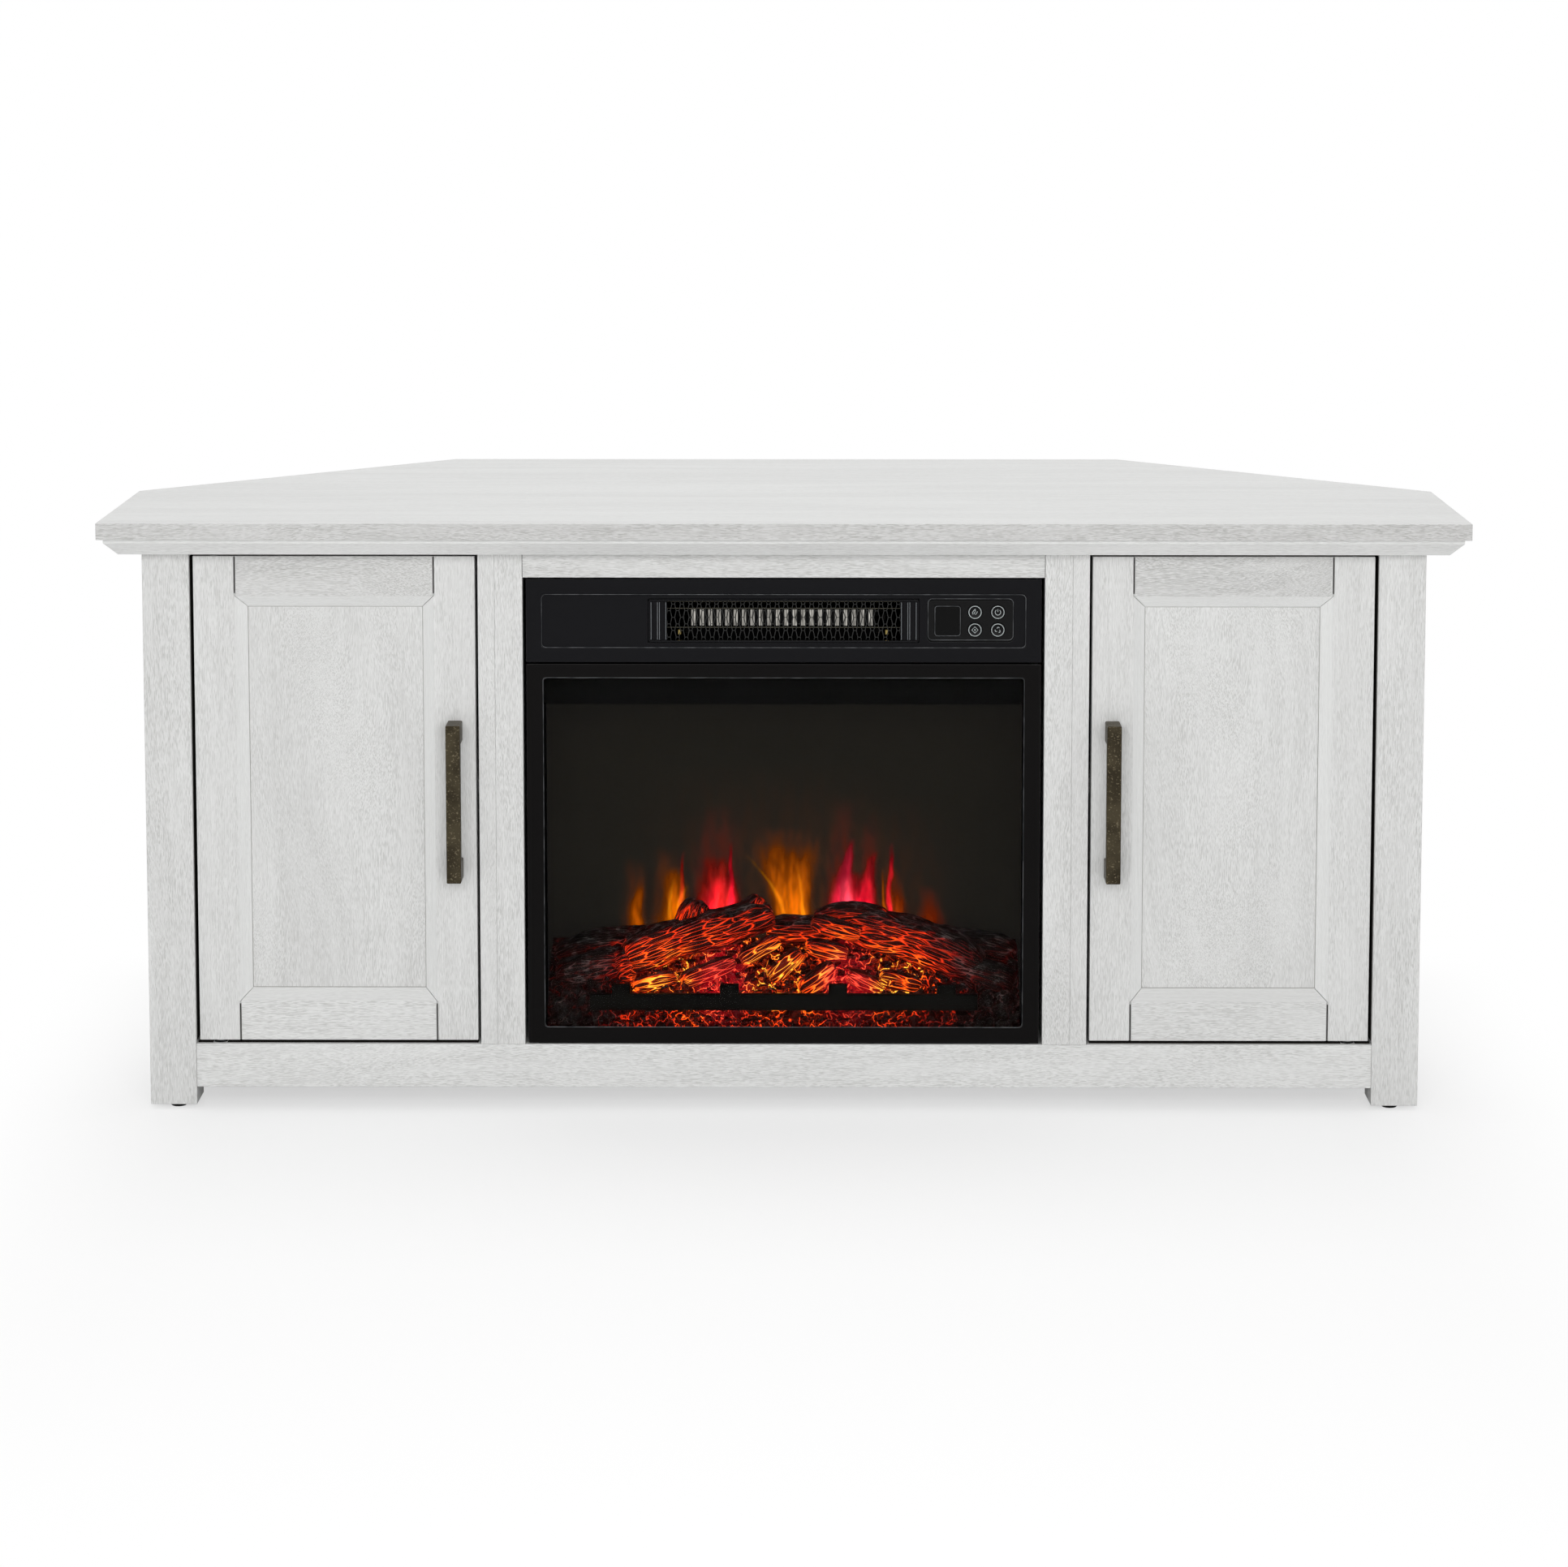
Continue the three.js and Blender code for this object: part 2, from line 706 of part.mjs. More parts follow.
// A square bar on two feet
function makeHandle(door, word, across, front) {
  const top = handleLift + handleLength;
  const inner = front - handleProjection + handleBar;
  const outline = [
    [front, handleLift],
    [front - handleProjection, handleLift],
    [front - handleProjection, top],
    [front, top],
    [front, top - handleFoot],
    [inner, top - handleFoot],
    [inner, handleLift + handleFoot],
    [front, handleLift + handleFoot],
  ];
  add(door, `handle_${word}`, prism(outline, 'x', across), 'bronze');
}

// Steel pins in the ends of the hinge stile, each with a collar that bears on the bush
function makePins(door, word) {
  const lower = pinProfile(doorEndGap);
  const upper = pinProfile(doorHeadGap).map(([radius, z]) => [radius, -z]).reverse();
  add(door, `pivot_pin_lower_${word}`, turned(lower, 'z', smallRoundSides), 'bareSteel');
  const top = add(door, `pivot_pin_upper_${word}`, turned(upper, 'z', smallRoundSides), 'bareSteel');
  top.position.z = doorHeight;
}

// Half section of a pin that stands in the end of a stile and crosses this gap to the bush
function pinProfile(gap) {
  const collar = gap - bushFlangeHeight - fitGap;
  const reach = gap + bushDepth - bushFloor - fitGap;
  return [
    [0, -reach],
    [pinRadius, -reach],
    [pinRadius, -collar],
    [pinCollarRadius, -collar],
    [pinCollarRadius, 0],
    [pinRadius, 0],
    [pinRadius, pinLength],
    [0, pinLength],
  ];
}

// The fire stands in a group of its own: y is measured back from its face and z up from the deck
const fire = new THREE.Group();
fire.position.set(0, bodyFront + faceSetback, deckTop);
stand.add(fire);

const faceHalf = fireHalf - faceGap;
const faceTop = openingTop - deckTop - faceHeadGap;
const fasciaBottom = faceTop - fasciaHeight;
const frameTop = fasciaBottom - seamHeight;
const recessSides = [recessSideBorder - faceHalf, faceHalf - recessSideBorder];
const recessEnds = [faceTop - recessTopBorder - recessHeight, faceTop - recessTopBorder];
const outletMiddle = (recessEnds[0] + recessEnds[1]) / 2;
const panBack = recessDepth + facePlate;
const controlSides = [recessSides[1] - controlEdgeGap - controlWidth, recessSides[1] - controlEdgeGap];
const controlEnds = around(outletMiddle, controlHeight);

const casingHalf = faceHalf - casingInset;
const casingInner = casingHalf - sheet;
const casingTop = openingTop - deckTop - casingHeadGap;
const casingBack = facePlate + casingDepth;
const floorTop = fitGap + sheet;
const decking = [frameTop - deckDrop + sheet, frameTop - deckDrop + sheet * 2];
const heaterTop = casingTop - sheet;
const bayWall = [controlSides[0] - bayWallInset - sheet, controlSides[0] - bayWallInset];
const grilleHalf = controlSides[0] - grilleEndGap;

const spindleAt = [spindleSetback, spindleLift];
const spindleEar = casingHalf - spindleEarInset;
const rotorAt = [rotorSetback, decking[1] + rotorLift];
const rotorHalf = bayWall[0] - rotorEndInset;
const rotorEar = rotorHalf + rotorEarGap;
const ribbonHalf = rotorHalf - ribbonEndInset;
const ribbonPitch = (ribbonHalf * 2) / ribbonFolds;
const ribbonLow = outletMiddle - ribbonHeight / 2;
const bedHalf = casingInner - bedEndGap;
const bedDepth = screenSetback - bedBackGap - bedSetback;
const grateHalf = bedHalf - grateEndInset;
const grateTabPitch = ((grateHalf - grateTabInset) * 2) / (grateTabCount - 1);

// A steel plate whose two side edges are folded back
function faceTray(across, heights) {
  const hollow = [facePlate, faceDepth + cutOverrun];
  const inside = block(grown(across, -facePlate), hollow, grown(heights, cutOverrun));
  return block(across, [0, faceDepth], heights).subtract(inside);
}

// Upper part of the face: a pressed steel tray with a shallow recess, open for grille and controls
function makeFascia() {
  const heights = [fasciaBottom, faceTop];
  const across = [-faceHalf, faceHalf];
  let fascia = faceTray(across, heights);
  const panSides = grown(recessSides, facePlate);
  fascia = fascia.add(block(panSides, [facePlate - weld, panBack], grown(recessEnds, facePlate)));
  const recess = roundedRectangle(recessSides, recessEnds, recessCornerRadius);
  fascia = fascia.subtract(prism(recess, 'y', [-cutOverrun, recessDepth]));
  const grilleSides = grown([-grilleHalf, grilleHalf], fitGap);
  const through = [-cutOverrun, panBack + cutOverrun];
  fascia = fascia.subtract(block(grilleSides, through, grown(around(outletMiddle, grilleHeight), fitGap)));
  const seat = roundedRectangle(grown(controlSides, fitGap), grown(controlEnds, fitGap), controlCornerRadius);
  add(fire, 'upper_fascia', fascia.subtract(prism(seat, 'y', through)), 'blackSteel');
}

function makeWindowFrame() {
  const across = [-faceHalf, faceHalf];
  const heights = [faceLift, frameTop];
  const window = roundedRectangle(
    grown(across, -windowSideBorder),
    [faceLift + windowBottomBorder, frameTop - windowTopBorder],
    windowCornerRadius,
  );
  const frame = faceTray(across, heights).subtract(prism(window, 'y', [-cutOverrun, facePlate + cutOverrun]));
  add(fire, 'window_frame', frame, 'blackSteel');
}

function makeGlass() {
  const heights = [floorTop + fitGap, decking[0] - fitGap];
  const across = grown([-casingInner, casingInner], -fitGap);
  add(fire, 'front_glass', block(across, [facePlate, facePlate + glassThickness], heights), 'glass');
}

// An ear with a running hole for a shaft along x
function ear(x, [low, high], [front, back], centre, radius) {
  const hole = rod(radius + fitGap, grown(x, cutOverrun), 'x', centre);
  return block(x, [front, back], [low, high]).subtract(hole);
}

const glandAt = [casingHalf - glandInset, outletMiddle];

// Sheet steel casing with a firebox below, a heater chamber above and a bay behind the controls
function makeCasing() {
  const inside = [-casingInner, casingInner];
  const open = [facePlate - cutOverrun, casingBack - sheet];
  let casing = block([-casingHalf, casingHalf], [facePlate, casingBack], [fitGap, casingTop]);
  casing = casing.subtract(block(inside, open, [floorTop, heaterTop]));
  casing = casing.add(block(grown(inside, weld), [facePlate, casingBack - weld], decking));
  const chamber = [decking[1] - weld, casingTop - weld];
  casing = casing.add(block(bayWall, [bayWallSetback, casingBack - weld], chamber));
  const hood = [decking[0] - hoodDrop, decking[0] + weld];
  casing = casing.add(block(grown(inside, weld), [hoodSetback, hoodSetback + sheet], hood));
  for (const [side] of sides) {
    const spindleX = mirrored(side, [spindleEar - earThickness, spindleEar]);
    const spindleZ = around(spindleLift, (spindleRadius + earMargin) * 2);
    const spindleY = [spindleSetback - spindleRadius - earMargin, casingBack - weld];
    casing = casing.add(ear(spindleX, spindleZ, spindleY, spindleAt, spindleRadius));
    const rotorX = mirrored(side, [rotorEar, rotorEar + earThickness]);
    const rotorZ = [decking[1] - weld, rotorAt[1] + rotorShaftRadius + earMargin];
    const rotorY = around(rotorSetback, (rotorShaftRadius + earMargin) * 2);
    casing = casing.add(ear(rotorX, rotorZ, rotorY, rotorAt, rotorShaftRadius));
  }
  const seatY = around(ribbonSetback + ribbonDepth / 2, ribbonSeatThickness);
  casing = casing.add(block([-ribbonHalf, ribbonHalf], seatY, [decking[1] - weld, ribbonLow - fitGap]));
  const outlet = [casingBack - sheet - cutOverrun, casingBack + cutOverrun];
  casing = casing.subtract(rod(glandRadius + fitGap, outlet, 'y', glandAt));
  add(fire, 'firebox_shell', casing, 'blackSteel');
}

// A ring along y, closed on itself, so that the cord can pass
function makeGland() {
  const inside = [casingBack - sheet - fitGap - glandInside, casingBack - sheet - fitGap];
  const flange = [casingBack + fitGap, casingBack + fitGap + glandFlangeThickness];
  const profile = [
    [glandBore, inside[0]],
    [glandFlangeRadius, inside[0]],
    [glandFlangeRadius, inside[1]],
    [glandRadius, inside[1]],
    [glandRadius, flange[0]],
    [glandFlangeRadius, flange[0]],
    [glandFlangeRadius, flange[1]],
    [glandRadius, flange[1]],
    [glandRadius, flange[0] + glandOutside],
    [glandBore, flange[0] + glandOutside],
    [glandBore, inside[0]],
  ];
  const [x, z] = glandAt;
  const gland = add(fire, 'cord_gland', turned(profile, 'y', smallRoundSides), 'blackPlastic');
  gland.position.set(x, 0, z);
}

// Outlet grille: a net between two pairs of upright fins
function makeGrille() {
  const across = [-grilleHalf, grilleHalf];
  const heights = around(outletMiddle, grilleHeight);
  const depth = [recessDepth - grillePlate / 2, panBack + grillePlate];
  let grille = block(across, [depth[0], panBack + weld], heights);
  grille = grille.add(block(grown(across, grilleFlange), [panBack, depth[1]], grown(heights, grilleFlange)));
  const finBay = finCount * finPitch;
  const through = grown(depth, cutOverrun);
  const inner = grown(heights, -grilleFrame);
  for (const [side] of sides) {
    for (let i = 0; i < finCount; i++) {
      const start = grilleHalf - grilleFrame - finPitch * (i + 1) + finThickness;
      const slot = mirrored(side, [start, start + finPitch - finThickness]);
      grille = grille.subtract(block(slot, through, inner));
    }
  }
  const netHalf = grilleHalf - grilleFrame - finBay - finThickness;
  const netEnds = inner;
  const pitchX = (netHalf * 2) / netColumns;
  const pitchZ = (netEnds[1] - netEnds[0]) / netRows;
  for (let column = 0; column < netColumns; column++) {
    const low = column % 2 ? -pitchZ / 2 : 0;
    const x = -netHalf + pitchX * (column + 1 / 2);
    for (let row = 0; row < netRows + (column % 2); row++) {
      const middle = netEnds[0] + pitchZ * (row + 1 / 2) + low;
      grille = grille.subtract(netCell(x, middle, [pitchX - netWire, pitchZ - netWire], netEnds, through));
    }
  }
  add(fire, 'outlet_grille', grille, 'blackSteel');
}

// One six-sided opening, taller than wide, kept inside the net's frame
function netCell(x, z, [wide, high], ends, through) {
  const keep = (value) => Math.min(Math.max(value, ends[0]), ends[1]);
  const [bottom, top] = [keep(z - high / 2), keep(z + high / 2)];
  const shoulder = high / 4;
  const lower = Math.min(keep(z - shoulder), top - shoulder / 2);
  const upper = Math.max(keep(z + shoulder), bottom + shoulder / 2);
  const points = [
    [x - wide / 2, lower],
    [x, bottom],
    [x + wide / 2, lower],
    [x + wide / 2, upper],
    [x, top],
    [x - wide / 2, upper],
  ];
  return prism(points, 'y', through);
}

// Control panel: a plate in the recess, a flange behind it and an open box for the circuit
const buttonPlaces = [
  ['flame', controlSides[1] - buttonEdge - buttonColumnPitch, outletMiddle + buttonRowPitch / 2],
  ['power', controlSides[1] - buttonEdge, outletMiddle + buttonRowPitch / 2],
  ['timer', controlSides[1] - buttonEdge - buttonColumnPitch, outletMiddle - buttonRowPitch / 2],
  ['heat', controlSides[1] - buttonEdge, outletMiddle - buttonRowPitch / 2],
];

function makeControls() {
  const flange = [panBack, panBack + controlPlate];
  const boxSides = grown(controlSides, -controlBoxInset);
  const boxEnds = grown(controlEnds, -controlBoxInset);
  const display = [controlSides[0] + displayInset, controlSides[0] + displayInset + displayWidth];
  const plate = roundedRectangle(controlSides, controlEnds, controlCornerRadius);
  let panel = prism(plate, 'y', [recessDepth, flange[1]]);
  panel = panel.add(block(grown(controlSides, controlFlange), flange, grown(controlEnds, controlFlange)));
  panel = panel.add(block(boxSides, [flange[0], flange[1] + controlBoxDepth], boxEnds));
  const hollow = [flange[1], flange[1] + controlBoxDepth + cutOverrun];
  panel = panel.subtract(block(grown(boxSides, -sheet), hollow, grown(boxEnds, -sheet)));
  const displayDepths = [-cutOverrun, recessDepth + displayDepth];
  panel = panel.subtract(block(display, displayDepths, around(outletMiddle, displayHeight)));
  const through = [-cutOverrun, flange[1] + cutOverrun];
  for (const [, x, z] of buttonPlaces) {
    panel = panel.subtract(rod(buttonRadius + fitGap, through, 'y', [x, z], roundSides));
  }
  add(fire, 'control_panel', panel, 'blackPlastic');
}

function makeButtons() {
  const front = recessDepth - buttonProud;
  const flange = panBack + controlPlate + fitGap;
  const profile = [
    [0, front],
    [buttonRadius, front],
    [buttonRadius, flange],
    [buttonRadius + buttonFlange, flange],
    [buttonRadius + buttonFlange, flange + buttonFlangeThickness],
    [0, flange + buttonFlangeThickness],
  ];
  for (const [name, x, z] of buttonPlaces) {
    const button = add(fire, `button_${name}`, turned(profile, 'y'), 'blackPlastic');
    button.position.set(x, 0, z);
  }
}

// Heating ribbon: one unbroken strip folded square, standing on its seat behind the grille
function makeRibbon() {
  const [near, far] = [ribbonSetback, ribbonSetback + ribbonDepth];
  const flat = ribbonPitch * ribbonFlatShare;
  const line = [];
  for (let i = 0; i < ribbonFolds; i++) {
    const start = ribbonPitch * i - ribbonHalf;
    line.push([start, far], [start, near], [start + flat, near], [start + flat, far]);
  }
  const leastGap = Math.min(flat, ribbonPitch - flat) - ribbonThickness;
  console.log(`heating ribbon: least gap between folds ${leastGap.toFixed(2)} mm`);
  const outline = ribbonOutline(line, ribbonThickness);
  add(fire, 'heating_ribbon', prism(outline, 'z', [ribbonLow, ribbonLow + ribbonHeight]), 'heater');
}

// Both edges of a strip of even thickness along a line with square corners
function ribbonOutline(line, thickness) {
  const edges = [[], []];
  line.forEach((point, i) => {
    const before = direction(line[i - 1] ?? point, point) ?? direction(point, line[i + 1]);
    const after = direction(point, line[i + 1] ?? point) ?? before;
    const turn = before[0] === after[0] && before[1] === after[1] ? 1 : 0;
    const normal = [-(before[1] + (turn ? 0 : after[1])), before[0] + (turn ? 0 : after[0])];
    edges[0].push([point[0] + (normal[0] * thickness) / 2, point[1] + (normal[1] * thickness) / 2]);
    edges[1].push([point[0] - (normal[0] * thickness) / 2, point[1] - (normal[1] * thickness) / 2]);
  });
  return [...edges[0], ...edges[1].reverse()];
}

function direction([x0, y0], [x1, y1]) {
  const length = Math.hypot(x1 - x0, y1 - y0);
  return length > 0 ? [Math.round((x1 - x0) / length), Math.round((y1 - y0) / length)] : null;
}

// Blower: two discs, slanted blades between them and a shaft that turns in the casing's ears
function makeRotor() {
  const half = rotorHalf;
  const shaftEnd = rotorEar + earThickness + fitGap;
  let rotor = rod(rotorShaftRadius, [-shaftEnd, shaftEnd], 'x');
  for (const [side] of sides) {
    rotor = rotor.add(rod(rotorRadius, mirrored(side, [half - rotorDisc, half]), 'x', [0, 0], roundSides));
  }
  for (let i = 0; i < bladeCount; i++) {
    const angle = (2 * Math.PI * i) / bladeCount;
    const centre = rotorRadius - bladeWidth / 2 - rotorDisc;
    const middle = [centre * Math.cos(angle), centre * Math.sin(angle)];
    const turn = angle + THREE.MathUtils.degToRad(bladeTurn);
    const blade = slantedPlate(middle, turn, bladeWidth, bladeThickness);
    rotor = rotor.add(prism(blade, 'x', grown([-half, half], -weld)));
  }
  add(fire, 'blower_rotor', rotor, 'bareSteel').position.set(0, ...rotorAt);
}

// The section of a thin plate that is turned about its middle
function slantedPlate([u, v], angle, width, thickness) {
  const along = [(Math.cos(angle) * width) / 2, (Math.sin(angle) * width) / 2];
  const across = [(-Math.sin(angle) * thickness) / 2, (Math.cos(angle) * thickness) / 2];
  return [[-1, -1], [1, -1], [1, 1], [-1, 1]].map(([a, c]) => [
    u + a * along[0] + c * across[0],
    v + a * along[1] + c * across[1],
  ]);
}

// Flame spindle: a rod with bright flaps, each turned on from the last, behind the screen
function makeSpindle() {
  const start = -spindleEar - sheet;
  const end = spindleEar + motorSocket - fitGap;
  let spindle = rod(spindleRadius, [start, end], 'x');
  const run = (spindleEar - earThickness) * 2;
  for (let i = 0; i < flameFlapCount; i++) {
    const middle = -run / 2 + (run * (i + 1 / 2)) / flameFlapCount;
    const angle = THREE.MathUtils.degToRad(flameFlapTurn * i);
    const flap = slantedPlate([0, 0], angle, (spindleRadius + flameFlapLength) * 2, flameFlapThickness);
    spindle = spindle.add(prism(flap, 'x', around(middle, flameFlapWidth)));
  }
  add(fire, 'flame_spindle', spindle, 'bareSteel').position.set(0, ...spindleAt);

  const socket = rod(spindleRadius + fitGap, [spindleEar - cutOverrun, spindleEar + motorSocket], 'x');
  const motor = rod(motorRadius, [spindleEar, spindleEar + motorLength], 'x', [0, 0], roundSides);
  add(fire, 'spindle_motor', motor.subtract(socket), 'bareSteel').position.set(0, ...spindleAt);
}

function makeScreen() {
  const across = grown([-casingInner, casingInner], -fitGap);
  const heights = [floorTop, decking[0] - fitGap];
  const depth = [screenSetback, screenSetback + screenThickness];
  add(fire, 'flame_screen', block(across, depth, heights), 'screen');
}

// Grate: a bar with square tabs, and arms that plug into the ember bed
function grateSpots() {
  const spots = [];
  for (let i = 0; i < grateTabCount; i++) spots.push(grateTabPitch * (i - (grateTabCount - 1) / 2));
  return spots;
}

function makeGrate() {
  const bar = [grateSetback, grateSetback + grateThickness];
  const heights = [grateLift, grateLift + grateHeight];
  let grate = block([-grateHalf, grateHalf], bar, heights);
  for (const x of grateSpots()) {
    const wide = around(x, grateTabWidth);
    grate = grate.add(block(wide, bar, [grateLift, heights[1] + grateTabHeight]));
    grate = grate.add(block(wide, [bar[0], bar[1] + grateArm], heights));
  }
  add(fire, 'fire_grate', grate, 'blackSteel');
}

// A tapered log with a few flat sides between two points
function log([x0, y0, z0], [x1, y1, z1], startRadius, endRadius) {
  const start = new THREE.Vector3(x0, y0, z0);
  const end = new THREE.Vector3(x1, y1, z1);
  const geometry = new THREE.CylinderGeometry(endRadius, startRadius, start.distanceTo(end), logSides);
  const turn = new THREE.Quaternion().setFromUnitVectors(
    new THREE.Vector3(0, 1, 0),
    end.clone().sub(start).normalize(),
  );
  geometry.applyQuaternion(turn);
  const middle = start.add(end).multiplyScalar(1 / 2);
  geometry.translate(middle.x, middle.y, middle.z);
  return toSolid(geometry);
}

// Moulded logs and ember bed in one piece, cut to the space between the glass and the screen
function makeLogs() {
  const low = floorTop + fitGap;
  const place = ([x, y, z]) => [x * bedHalf, bedSetback + y * bedDepth, low + z * logHeight];
  const profile = bedProfileShares.map(([y, z]) => [bedSetback + y * bedDepth, low + z * logHeight]);
  let bed = prism(profile, 'x', [-bedHalf, bedHalf]);
  for (const row of logShares) {
    const [start, end] = [place(row.slice(0, 3)), place(row.slice(3, 6))];
    bed = bed.add(log(start, end, row[6] * logHeight, row[7] * logHeight));
  }
  const room = block([-bedHalf, bedHalf], [bedSetback, bedSetback + bedDepth], [low, decking[0]]);
  bed = bed.intersect(room);
  const pocketDepth = [bedSetback - cutOverrun, grateSetback + grateThickness + grateArm + fitGap];
  const pocketHeights = grown([grateLift, grateLift + grateHeight], fitGap);
  for (const x of grateSpots()) {
    bed = bed.subtract(block(grown(around(x, grateTabWidth), fitGap), pocketDepth, pocketHeights));
  }
  add(fire, 'log_set', bed, 'ember');
}

makeTop();
makeSubTop();
makePosts();
makeSidePanels();
makeBottom();
makePartitions();
makeFrontFrame();
makeBacks();
makeShelves();
makeGlides();
makeBushes();
for (const [side, word] of sides) makeDoor(side, word);
makeFascia();
makeWindowFrame();
makeGlass();
makeCasing();
makeGland();
makeGrille();
makeControls();
makeButtons();
makeRibbon();
makeRotor();
makeSpindle();
makeScreen();
makeGrate();
makeLogs();

export default stand;
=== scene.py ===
# %% [markdown]
# # A corner TV stand with an electric log fire
#
# The real stand is flat-pack furniture: whitewashed oak laminate on particle board, two framed doors
# that swing on pivot pins, and a black steel fire with moulded logs between them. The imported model
# already fixes every solid, size and joint. This file dresses it: each board gets its rounded edges
# and its grain, the fire gets its logs, embers and flames, and small things that a flat solid can't
# show, such as the net of the outlet and the marks on the buttons, are made again in place.

# %% The frame that everything is built around
import json
import math

import bmesh
import bpy
from mathutils import Matrix, Vector, noise

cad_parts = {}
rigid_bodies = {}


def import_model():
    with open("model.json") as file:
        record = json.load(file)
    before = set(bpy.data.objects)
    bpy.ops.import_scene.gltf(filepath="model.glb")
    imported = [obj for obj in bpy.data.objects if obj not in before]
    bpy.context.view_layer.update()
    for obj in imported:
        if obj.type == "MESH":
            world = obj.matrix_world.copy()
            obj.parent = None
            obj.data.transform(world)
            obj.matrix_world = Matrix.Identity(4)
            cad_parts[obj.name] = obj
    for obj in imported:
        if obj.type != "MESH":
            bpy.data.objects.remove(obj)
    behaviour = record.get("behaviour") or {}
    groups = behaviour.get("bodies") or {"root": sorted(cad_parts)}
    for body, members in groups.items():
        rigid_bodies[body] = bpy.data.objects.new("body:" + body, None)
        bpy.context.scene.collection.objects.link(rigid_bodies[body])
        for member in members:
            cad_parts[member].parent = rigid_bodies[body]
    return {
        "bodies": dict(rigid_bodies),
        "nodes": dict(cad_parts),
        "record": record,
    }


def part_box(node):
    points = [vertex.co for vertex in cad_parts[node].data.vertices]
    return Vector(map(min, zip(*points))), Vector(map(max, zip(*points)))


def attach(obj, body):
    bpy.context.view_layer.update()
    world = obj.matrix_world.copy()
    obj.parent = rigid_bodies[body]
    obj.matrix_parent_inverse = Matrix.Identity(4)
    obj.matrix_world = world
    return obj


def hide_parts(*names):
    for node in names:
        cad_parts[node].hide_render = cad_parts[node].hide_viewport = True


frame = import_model()
nodes = frame["nodes"]
record = frame["record"]
body_of = {node: body for body, members in record["behaviour"]["bodies"].items() for node in members}
slot_of = {part["node"]: part["material_slot"] for part in record["subparts"]}
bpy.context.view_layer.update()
scene = bpy.context.scene
mm = 0.001
print("nodes:", len(nodes), "bodies:", len(frame["bodies"]))

# %% [markdown]
# ## Camera
#
# The photograph looks slightly down on the stand from about four metres. Its lens was shifted so that
# upright edges stay upright. Most of that shift is replaced by a small tilt here, because the other
# views keep the shift and a large one would push the stand out of the picture.

# %% Camera
camera_place = Vector((0.0197, -3.9148, 1.0004))
camera_tilt = math.radians(6.44)
camera_pan = math.radians(0.30)
focal_length = 95.55
camera_shift = -0.20


def link(name, data):
    made = bpy.data.objects.new(name, data)
    scene.collection.objects.link(made)
    return made


camera = link("camera", bpy.data.cameras.new("camera"))
camera.location = camera_place
camera.rotation_euler = (math.pi / 2 - camera_tilt, 0, camera_pan)
camera.data.lens = focal_length
camera.data.shift_y = camera_shift
scene.camera = camera
scene.view_settings.view_transform = "Standard"

# %% [markdown]
# ## Helpers for node trees
#
# Shader and geometry trees are written like sums. A node is wrapped, so that its outputs are read and
# its inputs are filled by label, and an output is a wire: adding, multiplying or spreading wires puts
# the right nodes into the tree that they belong to.


# %% Helpers for node trees
class Wire:
    """An output of a node. Sums with it become Math nodes in the same tree."""

    def __init__(self, socket):
        self.socket = socket

    def __add__(self, other):
        return calc("ADD", self, other)

    def __sub__(self, other):
        return calc("SUBTRACT", self, other)

    def __mul__(self, other):
        return calc("MULTIPLY", self, other)

    def __truediv__(self, other):
        return calc("DIVIDE", self, other)

    def __pow__(self, other):
        return calc("POWER", self, other)

    def __abs__(self):
        return calc("ABSOLUTE", self)

    def most(self, other):
        return calc("MAXIMUM", self, other)

    def axis(self, number):
        return put("ShaderNodeSeparateXYZ", {0: self})[number]

    def spread(self, low, high, to_low=0.0, to_high=1.0):
        """Maps a range of numbers onto another, with soft ends."""
        inputs = {0: self, 1: low, 2: high, 3: to_low, 4: to_high}
        return put("ShaderNodeMapRange", inputs, interpolation_type="SMOOTHSTEP")[0]


class Node:
    """A node whose outputs are read, and whose inputs are filled, by label or number."""

    def __init__(self, inner):
        self.inner = inner
        self.tree = inner.id_data

    def __getitem__(self, label):
        return Wire(self.inner.outputs[label])

    def __setitem__(self, label, value):
        socket = self.inner.inputs[label]
        if isinstance(value, Wire):
            self.tree.links.new(value.socket, socket)
        else:
            socket.default_value = value


def put(kind, inputs=None, tree=None, **settings):
    """Adds a node to a tree, which is the one that its inputs come from unless it is given."""
    inputs = inputs or {}
    if tree is None:
        tree = next(value.socket.id_data for value in inputs.values() if isinstance(value, Wire))
    node = Node(tree.nodes.new(kind))
    for name, value in settings.items():
        setattr(node.inner, name, value)
    for label, value in inputs.items():
        node[label] = value
    return node


def calc(operation, *values):
    """One step of arithmetic on numbers."""
    return put("ShaderNodeMath", dict(enumerate(values)), operation=operation)[0]


def vector_calc(operation, first, second, output="Vector"):
    """One step of arithmetic on vectors."""
    label = "Scale" if operation == "SCALE" else 1
    return put("ShaderNodeVectorMath", {0: first, label: second}, operation=operation)[output]


def blend(share, low, high, mode="MIX"):
    """Mixes two colours."""
    return put("ShaderNodeMix", {0: share, 6: low, 7: high}, data_type="RGBA", blend_type=mode)[2]


def patches(vector, stretch, detail=2.0, roughness=0.5):
    """Noise on a vector that is stretched first, so that a long streak has a small number."""
    stretch = stretch if isinstance(stretch, tuple) else (stretch,) * 3
    inputs = {"Vector": vector_calc("MULTIPLY", vector, stretch), "Scale": 1.0, "Detail": detail,
              "Roughness": roughness}
    return put("ShaderNodeTexNoise", inputs)[0]


